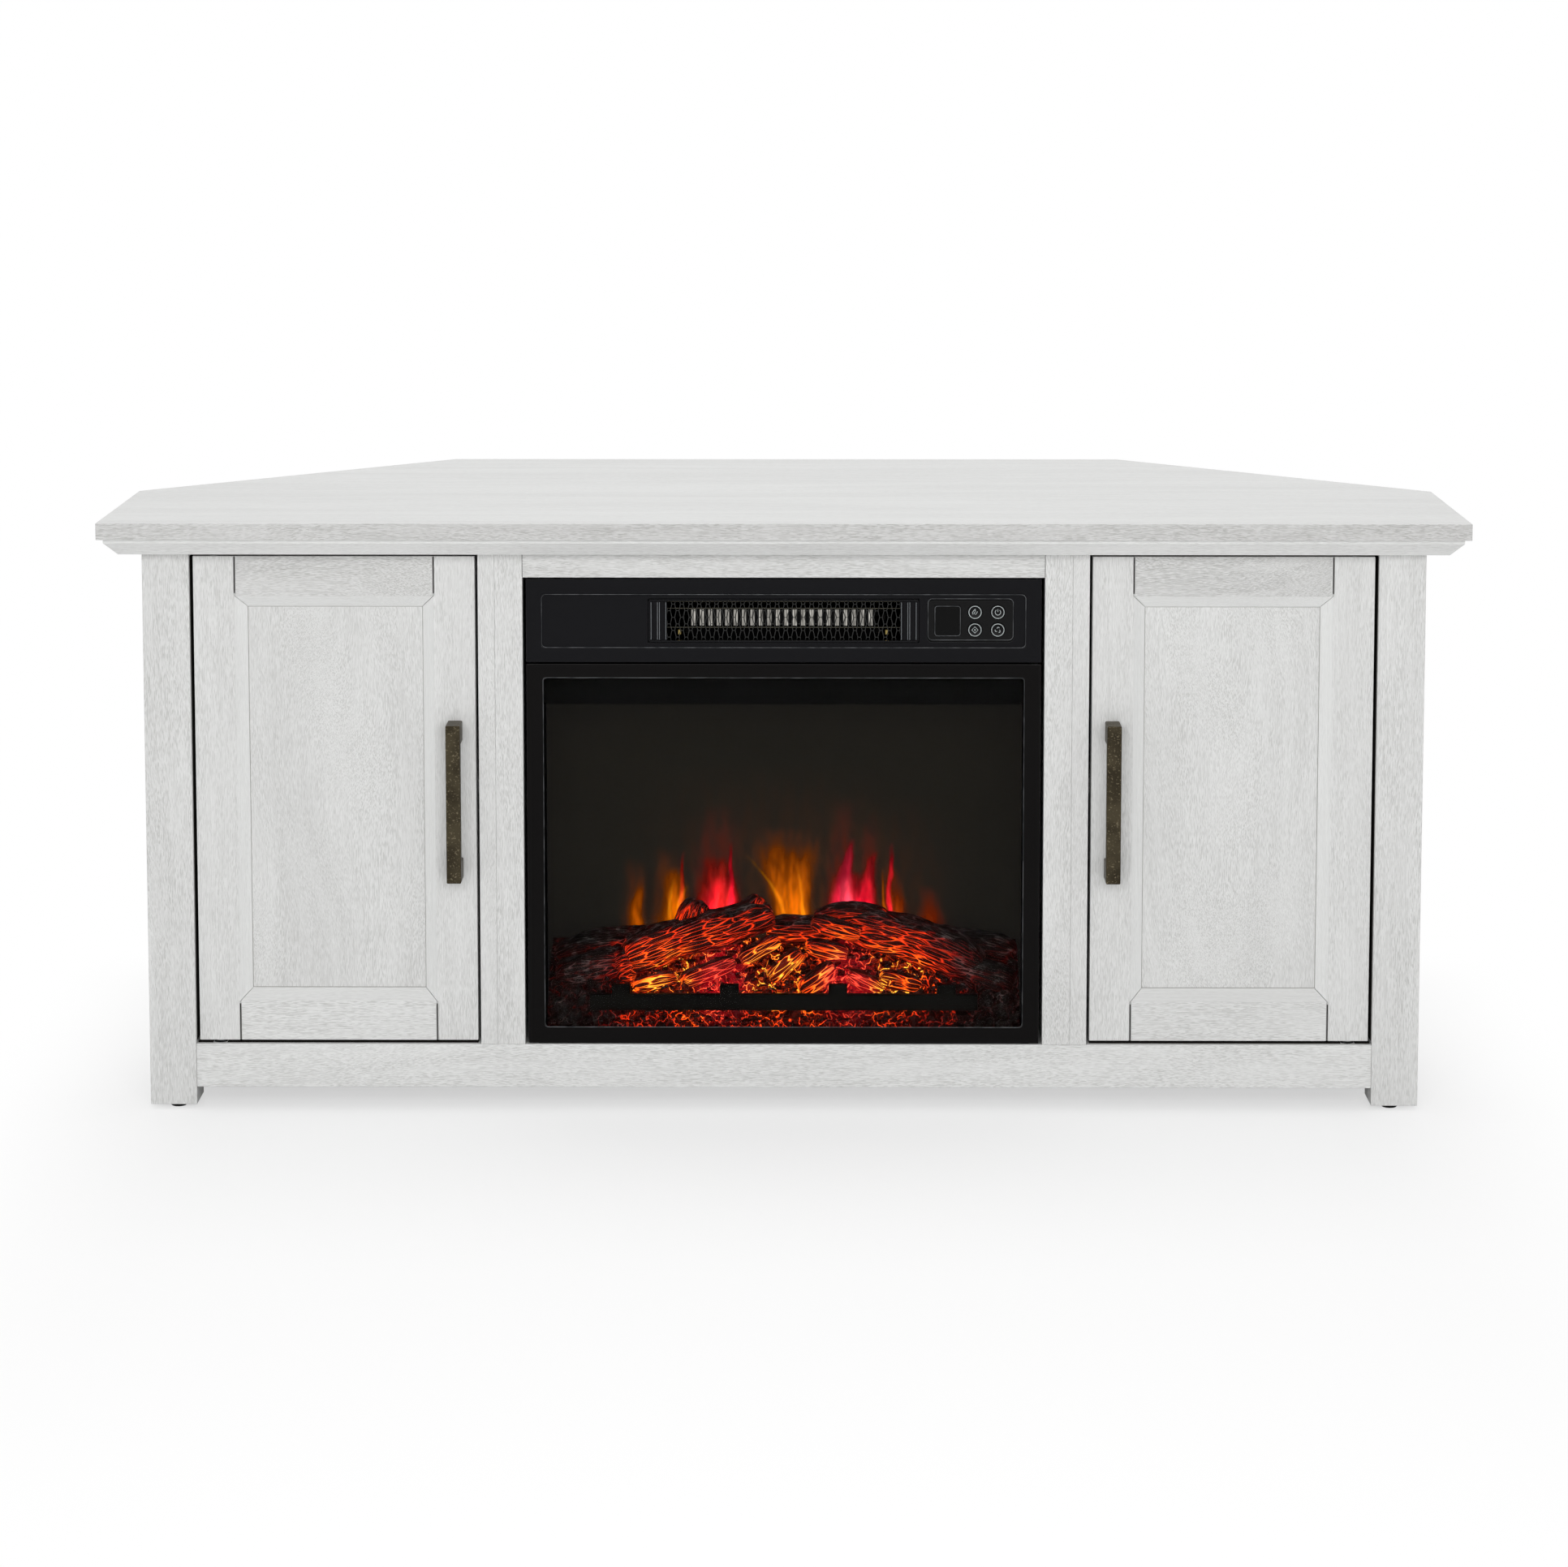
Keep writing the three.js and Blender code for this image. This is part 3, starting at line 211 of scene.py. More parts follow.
def new_group(name, tree_kind, inputs, outputs):
    """A group, its input node and its output node. A socket is "label: kind", or a label for a Float."""
    tree = bpy.data.node_groups.new(name, tree_kind)
    for direction, sockets in (("INPUT", inputs), ("OUTPUT", outputs)):
        for socket in sockets.split(", "):
            label, _, kind = socket.partition(": ")
            kind = "NodeSocket" + (kind or "Float")
            tree.interface.new_socket(label, in_out=direction, socket_type=kind)
    return tree, put("NodeGroupInput", tree=tree), put("NodeGroupOutput", tree=tree)


def new_material(name, **values):
    """A material and its Principled shader, whose plain values are given by name."""
    material = bpy.data.materials.new(name)
    material.use_nodes = True
    surface = Node(material.node_tree.nodes["Principled BSDF"])
    for label, value in values.items():
        surface[label.replace("_", " ").title().replace("Ior", "IOR")] = value
    return material, surface


def plain(name, colour, roughness, **values):
    """A material that is the same all over."""
    return new_material(name, base_color=colour, roughness=roughness, **values)[0]


def coordinate(surface, label="Object"):
    return put("ShaderNodeTexCoord", tree=surface.tree)[label]


def bump(surface, height, distance, strength=1.0):
    inputs = {"Height": height, "Distance": distance, "Strength": strength}
    surface["Normal"] = put("ShaderNodeBump", inputs)[0]


def paint(piece, material):
    piece.data.materials.clear()
    piece.data.materials.append(material)


def grey(level):
    return level, level, level, 1


black, white = grey(0), grey(1)

# %% [markdown]
# ## Floor, backdrop and light
#
# The stand was photographed on a white sweep under wide, soft lamps. The white comes from what the
# camera, glossy and transmitted rays see, and not from stronger lamps, so that the pale laminate keeps
# its own grey. The floor still mixes in its shading, which keeps the soft shadow under the cabinet.

# %% Floor and backdrop
ambient = 0.5
floor_glow = 0.555
floor_grey = 0.42
# the shading of the floor ends in plain white beyond these distances in metres
shade_aside = (0.50, 0.76)
shade_ahead = (0.75, 1.80)
shade_behind = (0.24, 0.42)
bounce_grey, gloss_grey = 0.85, 0.22
floor_size = 30.0


def seen_directly(tree, with_gloss):
    """One where a ray comes from the camera or through glass, and zero for the light that bounces."""
    path = put("ShaderNodeLightPath", tree=tree)
    shown = path["Is Camera Ray"].most(path["Is Transmission Ray"])
    return shown.most(path["Is Glossy Ray"]) if with_gloss else shown


scene.world = bpy.data.worlds.new("studio")
scene.world.use_nodes = True
sky = Node(scene.world.node_tree.nodes["Background"])
sky["Color"] = blend(seen_directly(sky.tree, True), grey(ambient), white)

floor = link("floor", bpy.data.meshes.new("floor"))
corners = [(x * floor_size, y * floor_size, 0) for x, y in ((-1, -1), (1, -1), (1, 1), (-1, 1))]
floor.data.from_pydata(corners, [], [(0, 1, 2, 3)])

floor_paint, surface = new_material("white sweep")
tree = surface.tree
place = coordinate(surface)
tree.nodes.remove(surface.inner)
near_side = abs(place.axis(0)).spread(*shade_aside, 1.0, 0.0)
near_front = (place.axis(1) * -1.0).spread(*shade_ahead, 1.0, 0.0)
near_back = place.axis(1).spread(*shade_behind, 1.0, 0.0)
shade = put("ShaderNodeBsdfDiffuse", {"Color": grey(floor_grey)}, tree)[0]
glow = put("ShaderNodeEmission", {"Strength": floor_glow}, tree)[0]
shaded = put("ShaderNodeAddShader", {0: shade, 1: glow})[0]
plain_white = put("ShaderNodeEmission", {"Strength": 1.0}, tree)[0]
near = near_side * near_front * near_back
shown = put("ShaderNodeMixShader", {0: near, 1: plain_white, 2: shaded})[0]
in_gloss = put("ShaderNodeLightPath", tree=tree)["Is Glossy Ray"]
bounce_colour = blend(in_gloss, grey(bounce_grey), grey(gloss_grey))
bounce = put("ShaderNodeBsdfDiffuse", {"Color": bounce_colour})[0]
mixed = put("ShaderNodeMixShader", {0: seen_directly(tree, False), 1: bounce, 2: shown})[0]
Node(tree.nodes["Material Output"])["Surface"] = mixed
paint(floor, floor_paint)

# %% Lamps
key_power, over_power = 37, 37
stand_middle = (0, 0, 0.3)


def lamp(name, place, size, power, in_gloss=True):
    """A square soft lamp that faces the stand."""
    data = bpy.data.lights.new(name, "AREA")
    data.shape, data.size, data.energy = "SQUARE", size, power
    made = link(name, data)
    made.location = place
    made.rotation_euler = (Vector(stand_middle) - Vector(place)).to_track_quat("-Z", "Y").to_euler()
    made.visible_glossy = in_gloss


lamp("key left", (-0.75, -3.7, 1.35), 1.5, key_power, in_gloss=False)
lamp("key right", (0.75, -3.7, 1.35), 1.5, key_power, in_gloss=False)
lamp("over", (0, 0.6, 3.2), 2.4, over_power)

# %% [markdown]
# ## Whitewashed oak
#
# The boards are wrapped in a printed and embossed film: a grey-white wash, wide faint bands where
# growth rings pass, fine fibres, and short dark pores that run with the grain and lean a little where
# the figure curves. All of it is one node group on a vector whose X runs with the grain, so a post, a
# rail and a panel only differ in how that vector is turned and how strong each part is.

# %% The oak group
wash_light = (0.788, 0.795, 0.786, 1)
wash_dark = (0.55, 0.547, 0.540, 1)
pore_colour = (0.245, 0.243, 0.228, 1)
fibre_share, line_share = 0.16, 0.45

oak_grain, given, result = new_group(
    "whitewashed oak", "ShaderNodeTree",
    "Vector: Vector, Lean, Pores, Bands, Tone", "Color: Color, Roughness, Height")
drift = (patches(given["Vector"], (2.2, 7.0, 7.0), detail=1.0) - 0.5) * given["Lean"]
figure = vector_calc("ADD", given["Vector"], put("ShaderNodeCombineXYZ", {1: drift, 2: drift})[0])

# the numbers are how often each part repeats in a metre, along the grain and across it
wide_bands = patches(figure, (1.6, 30, 30), detail=3.0).spread(0.34, 0.66)
fibres = patches(figure, (11, 1000, 1000)).spread(0.30, 0.70)
pore_fields = patches(figure, (9, 70, 70)).spread(0.30, 0.60, 0.6, 1.0)
fine_pores = patches(figure, (160, 2700, 2700), detail=0.0).spread(0.50, 0.66)
wide_pores = patches(figure, (95, 1800, 1800), detail=0.0).spread(0.62, 0.74)
long_lines = patches(figure, (14, 640, 640), detail=1.0).spread(0.60, 0.72)
pores = fine_pores.most(wide_pores) * pore_fields

tone = wide_bands * given["Bands"] + given["Tone"]
wood = blend(fibres * fibre_share + (tone - 0.01), wash_light, wash_dark)
dark_share = (pores * given["Pores"]).most(long_lines * (given["Pores"] * line_share))
result["Color"] = blend(dark_share, wood, pore_colour)
result["Roughness"] = pores * 0.15 + 0.50
result["Height"] = fibres * -0.15 - dark_share

# %% Oak finishes
grain_turns = {"x": (0, 0, 0), "z": (0, math.pi / 2, 0)}
embossing = 0.16 * mm


def oak(name, along, start, lean=0.03, pores=0.5, bands=0.12, tone=0.33, edge=None):
    """One board finish. along is the axis that the grain follows, start shifts the figure. edge is for
    faces that turn away from an axis: its number, two cosines between which it begins, pores, tone."""
    material, surface = new_material(name)
    inputs = {"Vector": coordinate(surface), "Location": start, "Rotation": grain_turns[along]}
    vector = put("ShaderNodeMapping", inputs)[0]
    if edge:
        axis, begins, ends, edge_pores, edge_tone = edge
        flat = abs(coordinate(surface, "Normal").axis(axis))
        pores = flat.spread(begins, ends, edge_pores, pores)
        tone = flat.spread(begins, ends, edge_tone, tone)
    inputs = {"Vector": vector, "Lean": lean, "Pores": pores, "Bands": bands, "Tone": tone}
    grain = put("ShaderNodeGroup", node_tree=oak_grain, tree=surface.tree)
    for label, value in inputs.items():
        grain[label] = value
    surface["Base Color"], surface["Roughness"] = grain["Color"], grain["Roughness"]
    bump(surface, grain["Height"], embossing)
    return material


slab_edge = (2, 0.4, 0.7, 0.50, 0.74)
# On the doors, the bevelled inner edges and the sides turn away from the front lamps, and their lighter
# tone is painted light. On the foot rail the bevel looks up at the lamp over the stand, and its darker
# tone is painted shade.
door_edge_painted_light = (1, 0.80, 0.95, 0.12, 0.14)
foot_edge_painted_shade = (1, 0.80, 0.95, 0.12, 0.40)
oak_top = oak("oak top", "x", (0.3, 0.0, 0.7), lean=0.05, pores=0.10, bands=0.15, tone=0.27,
              edge=slab_edge)
# The moulding under the top looks down, away from the lamps, and its lighter tone is painted light.
oak_moulding_painted_light = oak("oak moulding", "x", (1.7, 0.4, 0.2), pores=0.22, tone=0.21)
oak_rail = oak("oak rail", "x", (0.9, 0.2, 0.1), lean=0.05, pores=0.36, tone=0.21)
oak_top_rail = oak("oak top rail", "x", (0.9, 0.2, 0.1), lean=0.05, pores=0.4, tone=0.45)
oak_door_head = oak("oak door head", "x", (2.6, 0.9, 0.4), lean=0.20, tone=0.52, edge=door_edge_painted_light)
oak_door_foot = oak("oak door foot", "x", (5.1, 0.2, 0.8), lean=0.05, pores=0.36, tone=0.30,
                    edge=foot_edge_painted_shade)
oak_post = oak("oak post", "z", (0.0, 0.5, 0.2), lean=0.06, pores=0.38, tone=0.40)
oak_stile = oak("oak stile", "z", (1.3, 0.1, 0.6), pores=0.3, tone=0.38, edge=door_edge_painted_light)
oak_panel = oak("oak panel", "z", (3.1, 0.7, 0.9), lean=0.20, pores=0.34, tone=0.41)
oak_inside = oak("oak inside", "z", (4.2, 0.3, 0.5), lean=0.08, pores=0.3, tone=0.42)

# %% [markdown]
# ## Boards with soft edges
#
# A real board has no knife edge: the film is folded or banded over a radius of about half a
# millimetre, and that radius catches the light as a thin pale line. Each CAD board is copied, its
# loose triangles are merged back into flat faces, and a small bevel with hardened normals rounds every
# sharp edge while the flats stay flat.

# %% Copies of CAD solids with rounded edges
weld = 0.001 * mm
flat_within, sharp_from = math.radians(0.5), math.radians(28)


def finished(work, name):
    """The mesh in work as a piece of its own."""
    mesh = bpy.data.meshes.new(name)
    work.to_mesh(mesh)
    work.free()
    return link(name, mesh)


def evaluated(piece):
    """The plain mesh that a piece shows, with its modifiers or its curve worked out."""
    return bpy.data.meshes.new_from_object(piece.evaluated_get(bpy.context.evaluated_depsgraph_get()))


def applied(piece):
    """The piece with its modifiers turned into plain mesh."""
    mesh = evaluated(piece)
    piece.modifiers.clear()
    piece.data = mesh
    return piece


def merged_copy(node):
    """The CAD solid as welded flat faces, without the loose triangles' own normals."""
    work = bmesh.new()
    work.from_mesh(nodes[node].data)
    bmesh.ops.remove_doubles(work, verts=work.verts, dist=weld)
    bmesh.ops.dissolve_limit(work, angle_limit=flat_within, verts=work.verts, edges=work.edges)
    piece = finished(work, node + "_dressed")
    for extra in ("custom_normal", "sharp_face", "sharp_edge"):
        if extra in piece.data.attributes:
            piece.data.attributes.remove(piece.data.attributes[extra])
    return piece


def soften(piece, width, segments=2):
    piece.data.shade_smooth()
    edge = piece.modifiers.new("soft edges", "BEVEL")
    edge.width, edge.segments = width, segments
    edge.limit_method, edge.angle_limit = "ANGLE", sharp_from
    edge.harden_normals = True
    return applied(piece)


def settle(piece, node, material, slot=None, replaces=()):
    """Gives a finished piece its material and its body, and hides the CAD nodes that it replaces."""
    if material:
        paint(piece, material)
    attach(piece, body_of[node])
    if replaces:
        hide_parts(*replaces)
    slot or slot_of[node]


def dress(node, material, width, segments=2):
    """Puts a softened copy in the place of a CAD node."""
    settle(soften(merged_copy(node), width, segments), node, material, replaces=[node])


# %% Every laminate board
board_edge = 0.5 * mm
sides = {"left": -1, "right": 1}
board_finishes = {
    oak_top: ["top_panel"],
    oak_moulding_painted_light: ["sub_top_board"],
    oak_rail: ["bottom_rail", "bottom_panel", "shelf_left", "shelf_right"],
    oak_top_rail: ["top_rail"],
    oak_door_head: [f"door_{side}_top_rail" for side in sides],
    oak_door_foot: [f"door_{side}_bottom_rail" for side in sides],
    oak_post: [f"{board}_{side}" for board in ("front_post", "filler_stile") for side in sides],
    oak_stile: [f"door_{side}_{place}_stile" for side in sides for place in ("hinge", "latch")],
    oak_panel: [f"door_{side}_panel" for side in sides],
    oak_inside: [f"{board}_{side}" for side in sides for board in ("side_panel", "partition")],
}
for finish, boards in board_finishes.items():
    for board in boards:
        dress(board, finish, board_edge)
print("boards dressed:", sum(len(boards) for boards in board_finishes.values()))

# %% [markdown]
# ## Dark joints and painted shade in the gaps
#
# Where a rail meets a stile the film ends, and the dark core of the board shows as a hairline. A thin
# black strip just under the face stands for it, on each door and beside the rail over the fire. A thin
# grey line of painted shadow follows the edge of each door panel, and near-black strips of painted shade
# fill the gaps over, under and beside the hinge edge of the doors, where the shade is deep.

# %% Dark hairlines at the joints, and painted shade in the gaps
line_wide, line_sunk, line_deep, line_short = 0.75 * mm, 0.10 * mm, 0.5 * mm, 0.6 * mm
# the lines stop where the moulded inner edge of a rail begins
sticking = 13 * mm
seam_wide, seam_proud = 0.5 * mm, 0.08 * mm
gap_shade_thick = 0.45 * mm
# where each strip of painted gap shade begins and ends, counted from the face of the door
head_depth, post_depth, sill_depth = (2 * mm, 5 * mm), (0.6 * mm, 24 * mm), (1 * mm, 11 * mm)
# what the painted shade strips over and under a door keep clear of
head_gap = 0.4 * mm
wall_gap, flange_gap, post_gap = 3 * mm, 0.5 * mm, 1 * mm


def box_piece(name, x, y, z):
    """A closed box between three ranges."""
    low, high = (Vector(corner) for corner in zip(x, y, z))
    work = bmesh.new()
    bmesh.ops.create_cube(work, size=1.0)
    shape = Matrix.Translation((low + high) / 2) @ Matrix.Diagonal((*(high - low), 1))
    bmesh.ops.transform(work, verts=work.verts, matrix=shape)
    return finished(work, name)


def joined(name, pieces):
    """Several pieces as one mesh."""
    work = bmesh.new()
    for piece in pieces:
        work.from_mesh(piece.data)
        bpy.data.objects.remove(piece)
    return finished(work, name)


def around(middle, width):
    return middle - width / 2, middle + width / 2


def beyond(start, offsets):
    return tuple(start + offset for offset in offsets)


def on_side(sign, near, far):
    """A range of x on one side of the middle, from low to high."""
    return sorted((sign * near, sign * far))


def hairline(x, y, z):
    return box_piece("line", around(x, line_wide), beyond(y + line_sunk, (0, line_deep)), z)


# One near-black finish serves the dark core at the joints, which is real, and the strips in the gaps,
# which are painted shade.
joint_core_and_gap_shade = plain("board core", (0.02, 0.018, 0.016, 1), 0.9, specular_ior_level=0.1)
seam_grey = plain("seam shadow", (0.33, 0.325, 0.31, 1), 0.9, specular_ior_level=0.1)
sill_z = beyond(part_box("bottom_rail")[1].z, (0, gap_shade_thick))
sub_top_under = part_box("sub_top_board")[0].z

for side, sign in sides.items():
    hinge, latch = (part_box(f"door_{side}_{place}_stile") for place in ("hinge", "latch"))
    left, right = sorted((hinge, latch), key=lambda box: box[0].x)
    top, bottom = (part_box(f"door_{side}_{place}_rail") for place in ("top", "bottom"))
    panel = f"door_{side}_panel"
    x, z = (left[1].x, right[0].x), (bottom[1].z, top[0].z)
    inner_x = (x[0] + seam_wide, x[1] - seam_wide)
    ranges = [((x[0], inner_x[0]), z), ((inner_x[1], x[1]), z),
              (inner_x, (z[0], z[0] + seam_wide)), (inner_x, (z[1] - seam_wide, z[1]))]
    seam_y = around(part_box(panel)[0].y, 2 * seam_proud)
    seams = [box_piece("seam", across, seam_y, up) for across, up in ranges]
    settle(joined(f"door_{side}_panel_seam", seams), panel, seam_grey)
    rails = [(top, (top[0].z + sticking, top[1].z - line_short)),
             (bottom, (bottom[0].z + line_short, bottom[1].z - sticking))]
    lines = [hairline(end.x, rail[0].y, up) for rail, up in rails for end in rail]
    settle(joined(f"door_{side}_joint_lines", lines), panel, joint_core_and_gap_shade)
    face = hinge[0].y
    # The gaps only look black because they lie deep in shade, so near-black strips of painted shade fill
    # them.
    head = box_piece("strip", (left[0].x, right[1].x), beyond(face, head_depth),
                     (hinge[1].z + head_gap, sub_top_under))
    settle(head, "sub_top_board", joint_core_and_gap_shade)
    wall = max(abs(edge.x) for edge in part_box(f"partition_{side}"))
    post = min(abs(edge.x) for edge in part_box(f"front_post_{side}"))
    post_gap_shade = box_piece("strip", on_side(sign, post - gap_shade_thick, post), beyond(face, post_depth),
                       (hinge[0].z, hinge[1].z))
    settle(post_gap_shade, f"front_post_{side}", joint_core_and_gap_shade)
    flange = sorted(abs(edge.x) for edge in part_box(f"pivot_bush_lower_{side}"))
    runs = ((wall + wall_gap, flange[0] - flange_gap), (flange[1] + flange_gap, post - post_gap))
    sill_gap_shades = [box_piece("sill", on_side(sign, *run), beyond(face, sill_depth), sill_z) for run in runs]
    settle(joined(f"sill_{side}", sill_gap_shades), "bottom_rail", joint_core_and_gap_shade)

low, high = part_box("top_rail")
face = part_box("filler_stile_left")[0].y
lines = [hairline(x, face, (low.z + line_short, high.z)) for x in (low.x, high.x)]
settle(joined("top_rail_joint_lines", lines), "top_rail", joint_core_and_gap_shade)

# %% [markdown]
# ## Metal and plastic
#
# The fire's steel is powder coated: nearly black, with a fine orange-peel that softens its highlights.
# The handles are cast zinc with an antique bronze wash, worn a little lighter in specks. The glides
# and bushes are plain black plastic.


# %% Powder coat, plastic, plain steel and board
def powder_coat(name, colour, roughness, gloss, edge_shine=0.8):
    """Nearly black coating. It is polished over edges, so faces that turn from the front shine more."""
    material, surface = new_material(name, base_color=colour, roughness=roughness,
                                     specular_ior_level=gloss, coat_roughness=0.3)
    frontal = abs(coordinate(surface, "Normal").axis(1))
    surface["Coat Weight"] = frontal.spread(0.80, 0.985, edge_shine, 0.0)
    place = coordinate(surface)
    surface["Roughness"] = patches(place, 9).spread(0.3, 0.7, roughness - 0.04, roughness + 0.05)
    bump(surface, patches(place, 1400, detail=1.0), 0.06 * mm, 0.35)
    return material


black_steel = powder_coat("black powder coat", (0.0072, 0.0072, 0.0084, 1), 0.40, 0.10)
frame_black = powder_coat("frame powder coat", (0.0056, 0.0051, 0.0051, 1), 0.40, 0.07)
black_inside = powder_coat("black inside", (0.0013, 0.0013, 0.0013, 1), 0.6, 0.02, edge_shine=0.0)
black_plastic = powder_coat("black plastic", (0.005, 0.005, 0.0052, 1), 0.5, 0.2)
grate_black = powder_coat("grate black", (0.0026, 0.0024, 0.0020, 1), 0.55, 0.02, edge_shine=0.02)


def plain_steel(name, colour, roughness):
    """Bright drawn steel with faint streaks."""
    material, surface = new_material(name, base_color=colour, metallic=1.0)
    streaks = patches(coordinate(surface), (60, 900, 900))
    surface["Roughness"] = streaks.spread(0.3, 0.7, roughness, roughness + 0.15)
    return material


bare_steel = plain_steel("bare steel", (0.56, 0.57, 0.58, 1), 0.28)
# The blower rotor sits in the dark housing behind the net, and its near-black colour is painted shade.
rotor_painted_shade = plain_steel("darkened rotor", (0.030, 0.029, 0.027, 1), 0.5)

backing, surface = new_material("painted fibreboard", roughness=0.75)
place = coordinate(surface)
mottle = patches(place, 60, detail=3.0).spread(0.3, 0.7)
surface["Base Color"] = blend(mottle, (0.665, 0.66, 0.64, 1), (0.63, 0.625, 0.60, 1))
bump(surface, patches(place, 900, detail=1.0), 0.1 * mm, 0.3)

plain_finishes = {"backing_board": backing, "black_plastic": black_plastic, "bare_steel": bare_steel,
                  "black_steel": black_steel}
for node, slot in slot_of.items():
    if slot in plain_finishes:
        paint(nodes[node], rotor_painted_shade if node == "blower_rotor" else plain_finishes[slot])

# %% Door handles
bronze, surface = new_material("antique bronze", metallic=0.35, specular_ior_level=0.2)
place = coordinate(surface)
cloudy = patches(place, 45, detail=4.0).spread(0.35, 0.68)
wash = blend(cloudy, (0.037, 0.029, 0.0165, 1), (0.068, 0.055, 0.032, 1))
specks = patches(place, 560).spread(0.56, 0.72)
surface["Base Color"] = blend(specks * 0.5, wash, (0.30, 0.25, 0.16, 1))
surface["Roughness"] = cloudy.spread(0, 1, 0.40, 0.52)
bump(surface, patches(place, 260, detail=3.0), 0.25 * mm, 0.5)

handle_edge = 1.1 * mm
for side in sides:
    dress(f"handle_{side}", bronze, handle_edge, segments=3)

# %% [markdown]
# ## The face of the fire
#
# Two pressed steel trays make the face. Their outer edges and the recess have small radii that catch the
# light, so they are softened a little more than the boards. The thin blue-grey lines round the recess,
# the window and the control panel are painted highlights, laid on further down.

# %% Steel trays, panel and casing
tray_edge, grate_edge = 0.7 * mm, 0.6 * mm
dress("upper_fascia", black_steel, tray_edge)
dress("window_frame", frame_black, tray_edge)
dress("control_panel", black_plastic, tray_edge)
dress("fire_grate", grate_black, grate_edge)
paint(nodes["firebox_shell"], black_inside)

# %% [markdown]
# ## Outlet grille
#
# Warm air leaves through a wire net between two pairs of fins. The net repeats by rule, so Geometry
# Nodes build it: a grid of points, every other column half a step lower, and one six-sided loop of wire
# on each. The loops that stick out at the top and bottom are trimmed where the frame covers them.


# %% Node tree of the net
def repeated(points, shape, given, **turned):
    """The end of a geometry tree: a copy of a shape on each point, as real mesh of one material."""
    inputs = {"Points": points, "Instance": shape, **turned}
    copies = put("GeometryNodeInstanceOnPoints", inputs)[0]
    solid = put("GeometryNodeRealizeInstances", {"Geometry": copies})[0]
    return put("GeometryNodeSetMaterial", {"Geometry": solid, "Material": given["Material"]})[0]


net_tree, given, result = new_group(
    "wire net", "GeometryNodeTree",
    "Columns: Int, Rows: Int, Pitch X, Pitch Z, Wire, Material: Material", "Geometry: Geometry")
net_wide = (given["Columns"] - 1.0) * given["Pitch X"]
net_high = (given["Rows"] - 1.0) * given["Pitch Z"]
inputs = {"Size X": net_wide, "Size Y": net_high, "Vertices X": given["Columns"],
          "Vertices Y": given["Rows"]}
grid = put("GeometryNodeMeshGrid", inputs)["Mesh"]
from_left = put("GeometryNodeInputPosition", tree=net_tree)[0].axis(0) + net_wide * 0.5
column = calc("ROUND", from_left / given["Pitch X"])
drop = calc("FLOORED_MODULO", column, 2.0) * given["Pitch Z"] * 0.5
step = put("ShaderNodeCombineXYZ", {1: drop})[0]
points = put("GeometryNodeSetPosition", {"Geometry": grid, "Offset": step})[0]
loop = put("GeometryNodeCurvePrimitiveCircle", {"Resolution": 6, "Radius": 0.5}, net_tree)[0]
# hexagons that are one metre wide nest 0.75 metres apart, and 1.155 times their height makes a metre
nested, to_height = 0.75, 1.155
inputs = {0: given["Pitch X"] / nested, 1: given["Pitch Z"] * to_height, 2: 1.0}
stretch = put("ShaderNodeCombineXYZ", inputs)[0]
cell = put("GeometryNodeTransform", {"Geometry": loop, "Scale": stretch})[0]
wire = put("GeometryNodeCurvePrimitiveCircle", {"Resolution": 5, "Radius": given["Wire"]})[0]
mesh_loop = put("GeometryNodeCurveToMesh", {"Curve": cell, "Profile Curve": wire})[0]
result[0] = repeated(points, mesh_loop, given)


# %% Net, fins and frame in the place of the CAD grille
def grown_by_nodes(name, tree, values, start=None):
    """Runs a geometry tree on a mesh and keeps its result as plain mesh."""
    piece = link(name, start or bpy.data.meshes.new(name))
    modifier = piece.modifiers.new(name, "NODES")
    modifier.node_group = tree
    for item in tree.interface.items_tree:
        if item.in_out == "INPUT" and item.name in values:
            modifier[item.identifier] = values[item.name]
    return applied(piece)


def trimmed(mesh, low, high):
    """Cuts a mesh at two heights and closes the cuts."""
    work = bmesh.new()
    work.from_mesh(mesh)
    upward = Vector((0, 0, 1))
    for height, sign in ((low, -1), (high, 1)):
        geometry = work.verts[:] + work.edges[:] + work.faces[:]
        cut = bmesh.ops.bisect_plane(work, geom=geometry, plane_co=upward * height,
                                     plane_no=upward * sign, clear_outer=True)
        rim = [item for item in cut["geom_cut"] if isinstance(item, bmesh.types.BMEdge)]
        bmesh.ops.holes_fill(work, edges=rim)
    work.to_mesh(mesh)
    work.free()


flange, frame_rim, frame_edge = 3 * mm, 1.6 * mm, 0.45 * mm
fin_pitch, fin_count, fin_width, fin_proud = 6.6 * mm, 2, 1.7 * mm, 0.3 * mm
net_sunk, plate_sunk = 1.9 * mm, 1.6 * mm
cell_wide, rows, wire_radius = 3.82 * mm, 3, 0.42 * mm

low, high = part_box("outlet_grille")
grille_middle = (low + high) / 2
grille_half = (high.x - low.x) / 2 - flange
opening_high = (high.z - low.z) - 2 * (flange + frame_rim)
opening_z = around(grille_middle.z, opening_high)
net_half = grille_half - frame_rim - fin_count * fin_pitch - fin_width
net_black = powder_coat("net black", (0.022, 0.022, 0.021, 1), 0.4, 0.3, edge_shine=0.5)
columns = 2 * round(net_half / cell_wide)
values = {"Columns": columns, "Rows": rows + 1, "Pitch X": 2 * net_half / columns,
          "Pitch Z": opening_high / rows, "Wire": wire_radius, "Material": net_black}
net = grown_by_nodes("outlet_net", net_tree, values)
upright = Matrix.Rotation(math.pi / 2, 4, "X")
net_place = Matrix.Translation((0, low.y + net_sunk, grille_middle.z - opening_high / rows / 4))
net.data.transform(net_place @ upright)
trimmed(net.data, *opening_z)
net.data.shade_smooth()
settle(net, "outlet_grille", None)
print("net faces:", len(net.data.polygons))

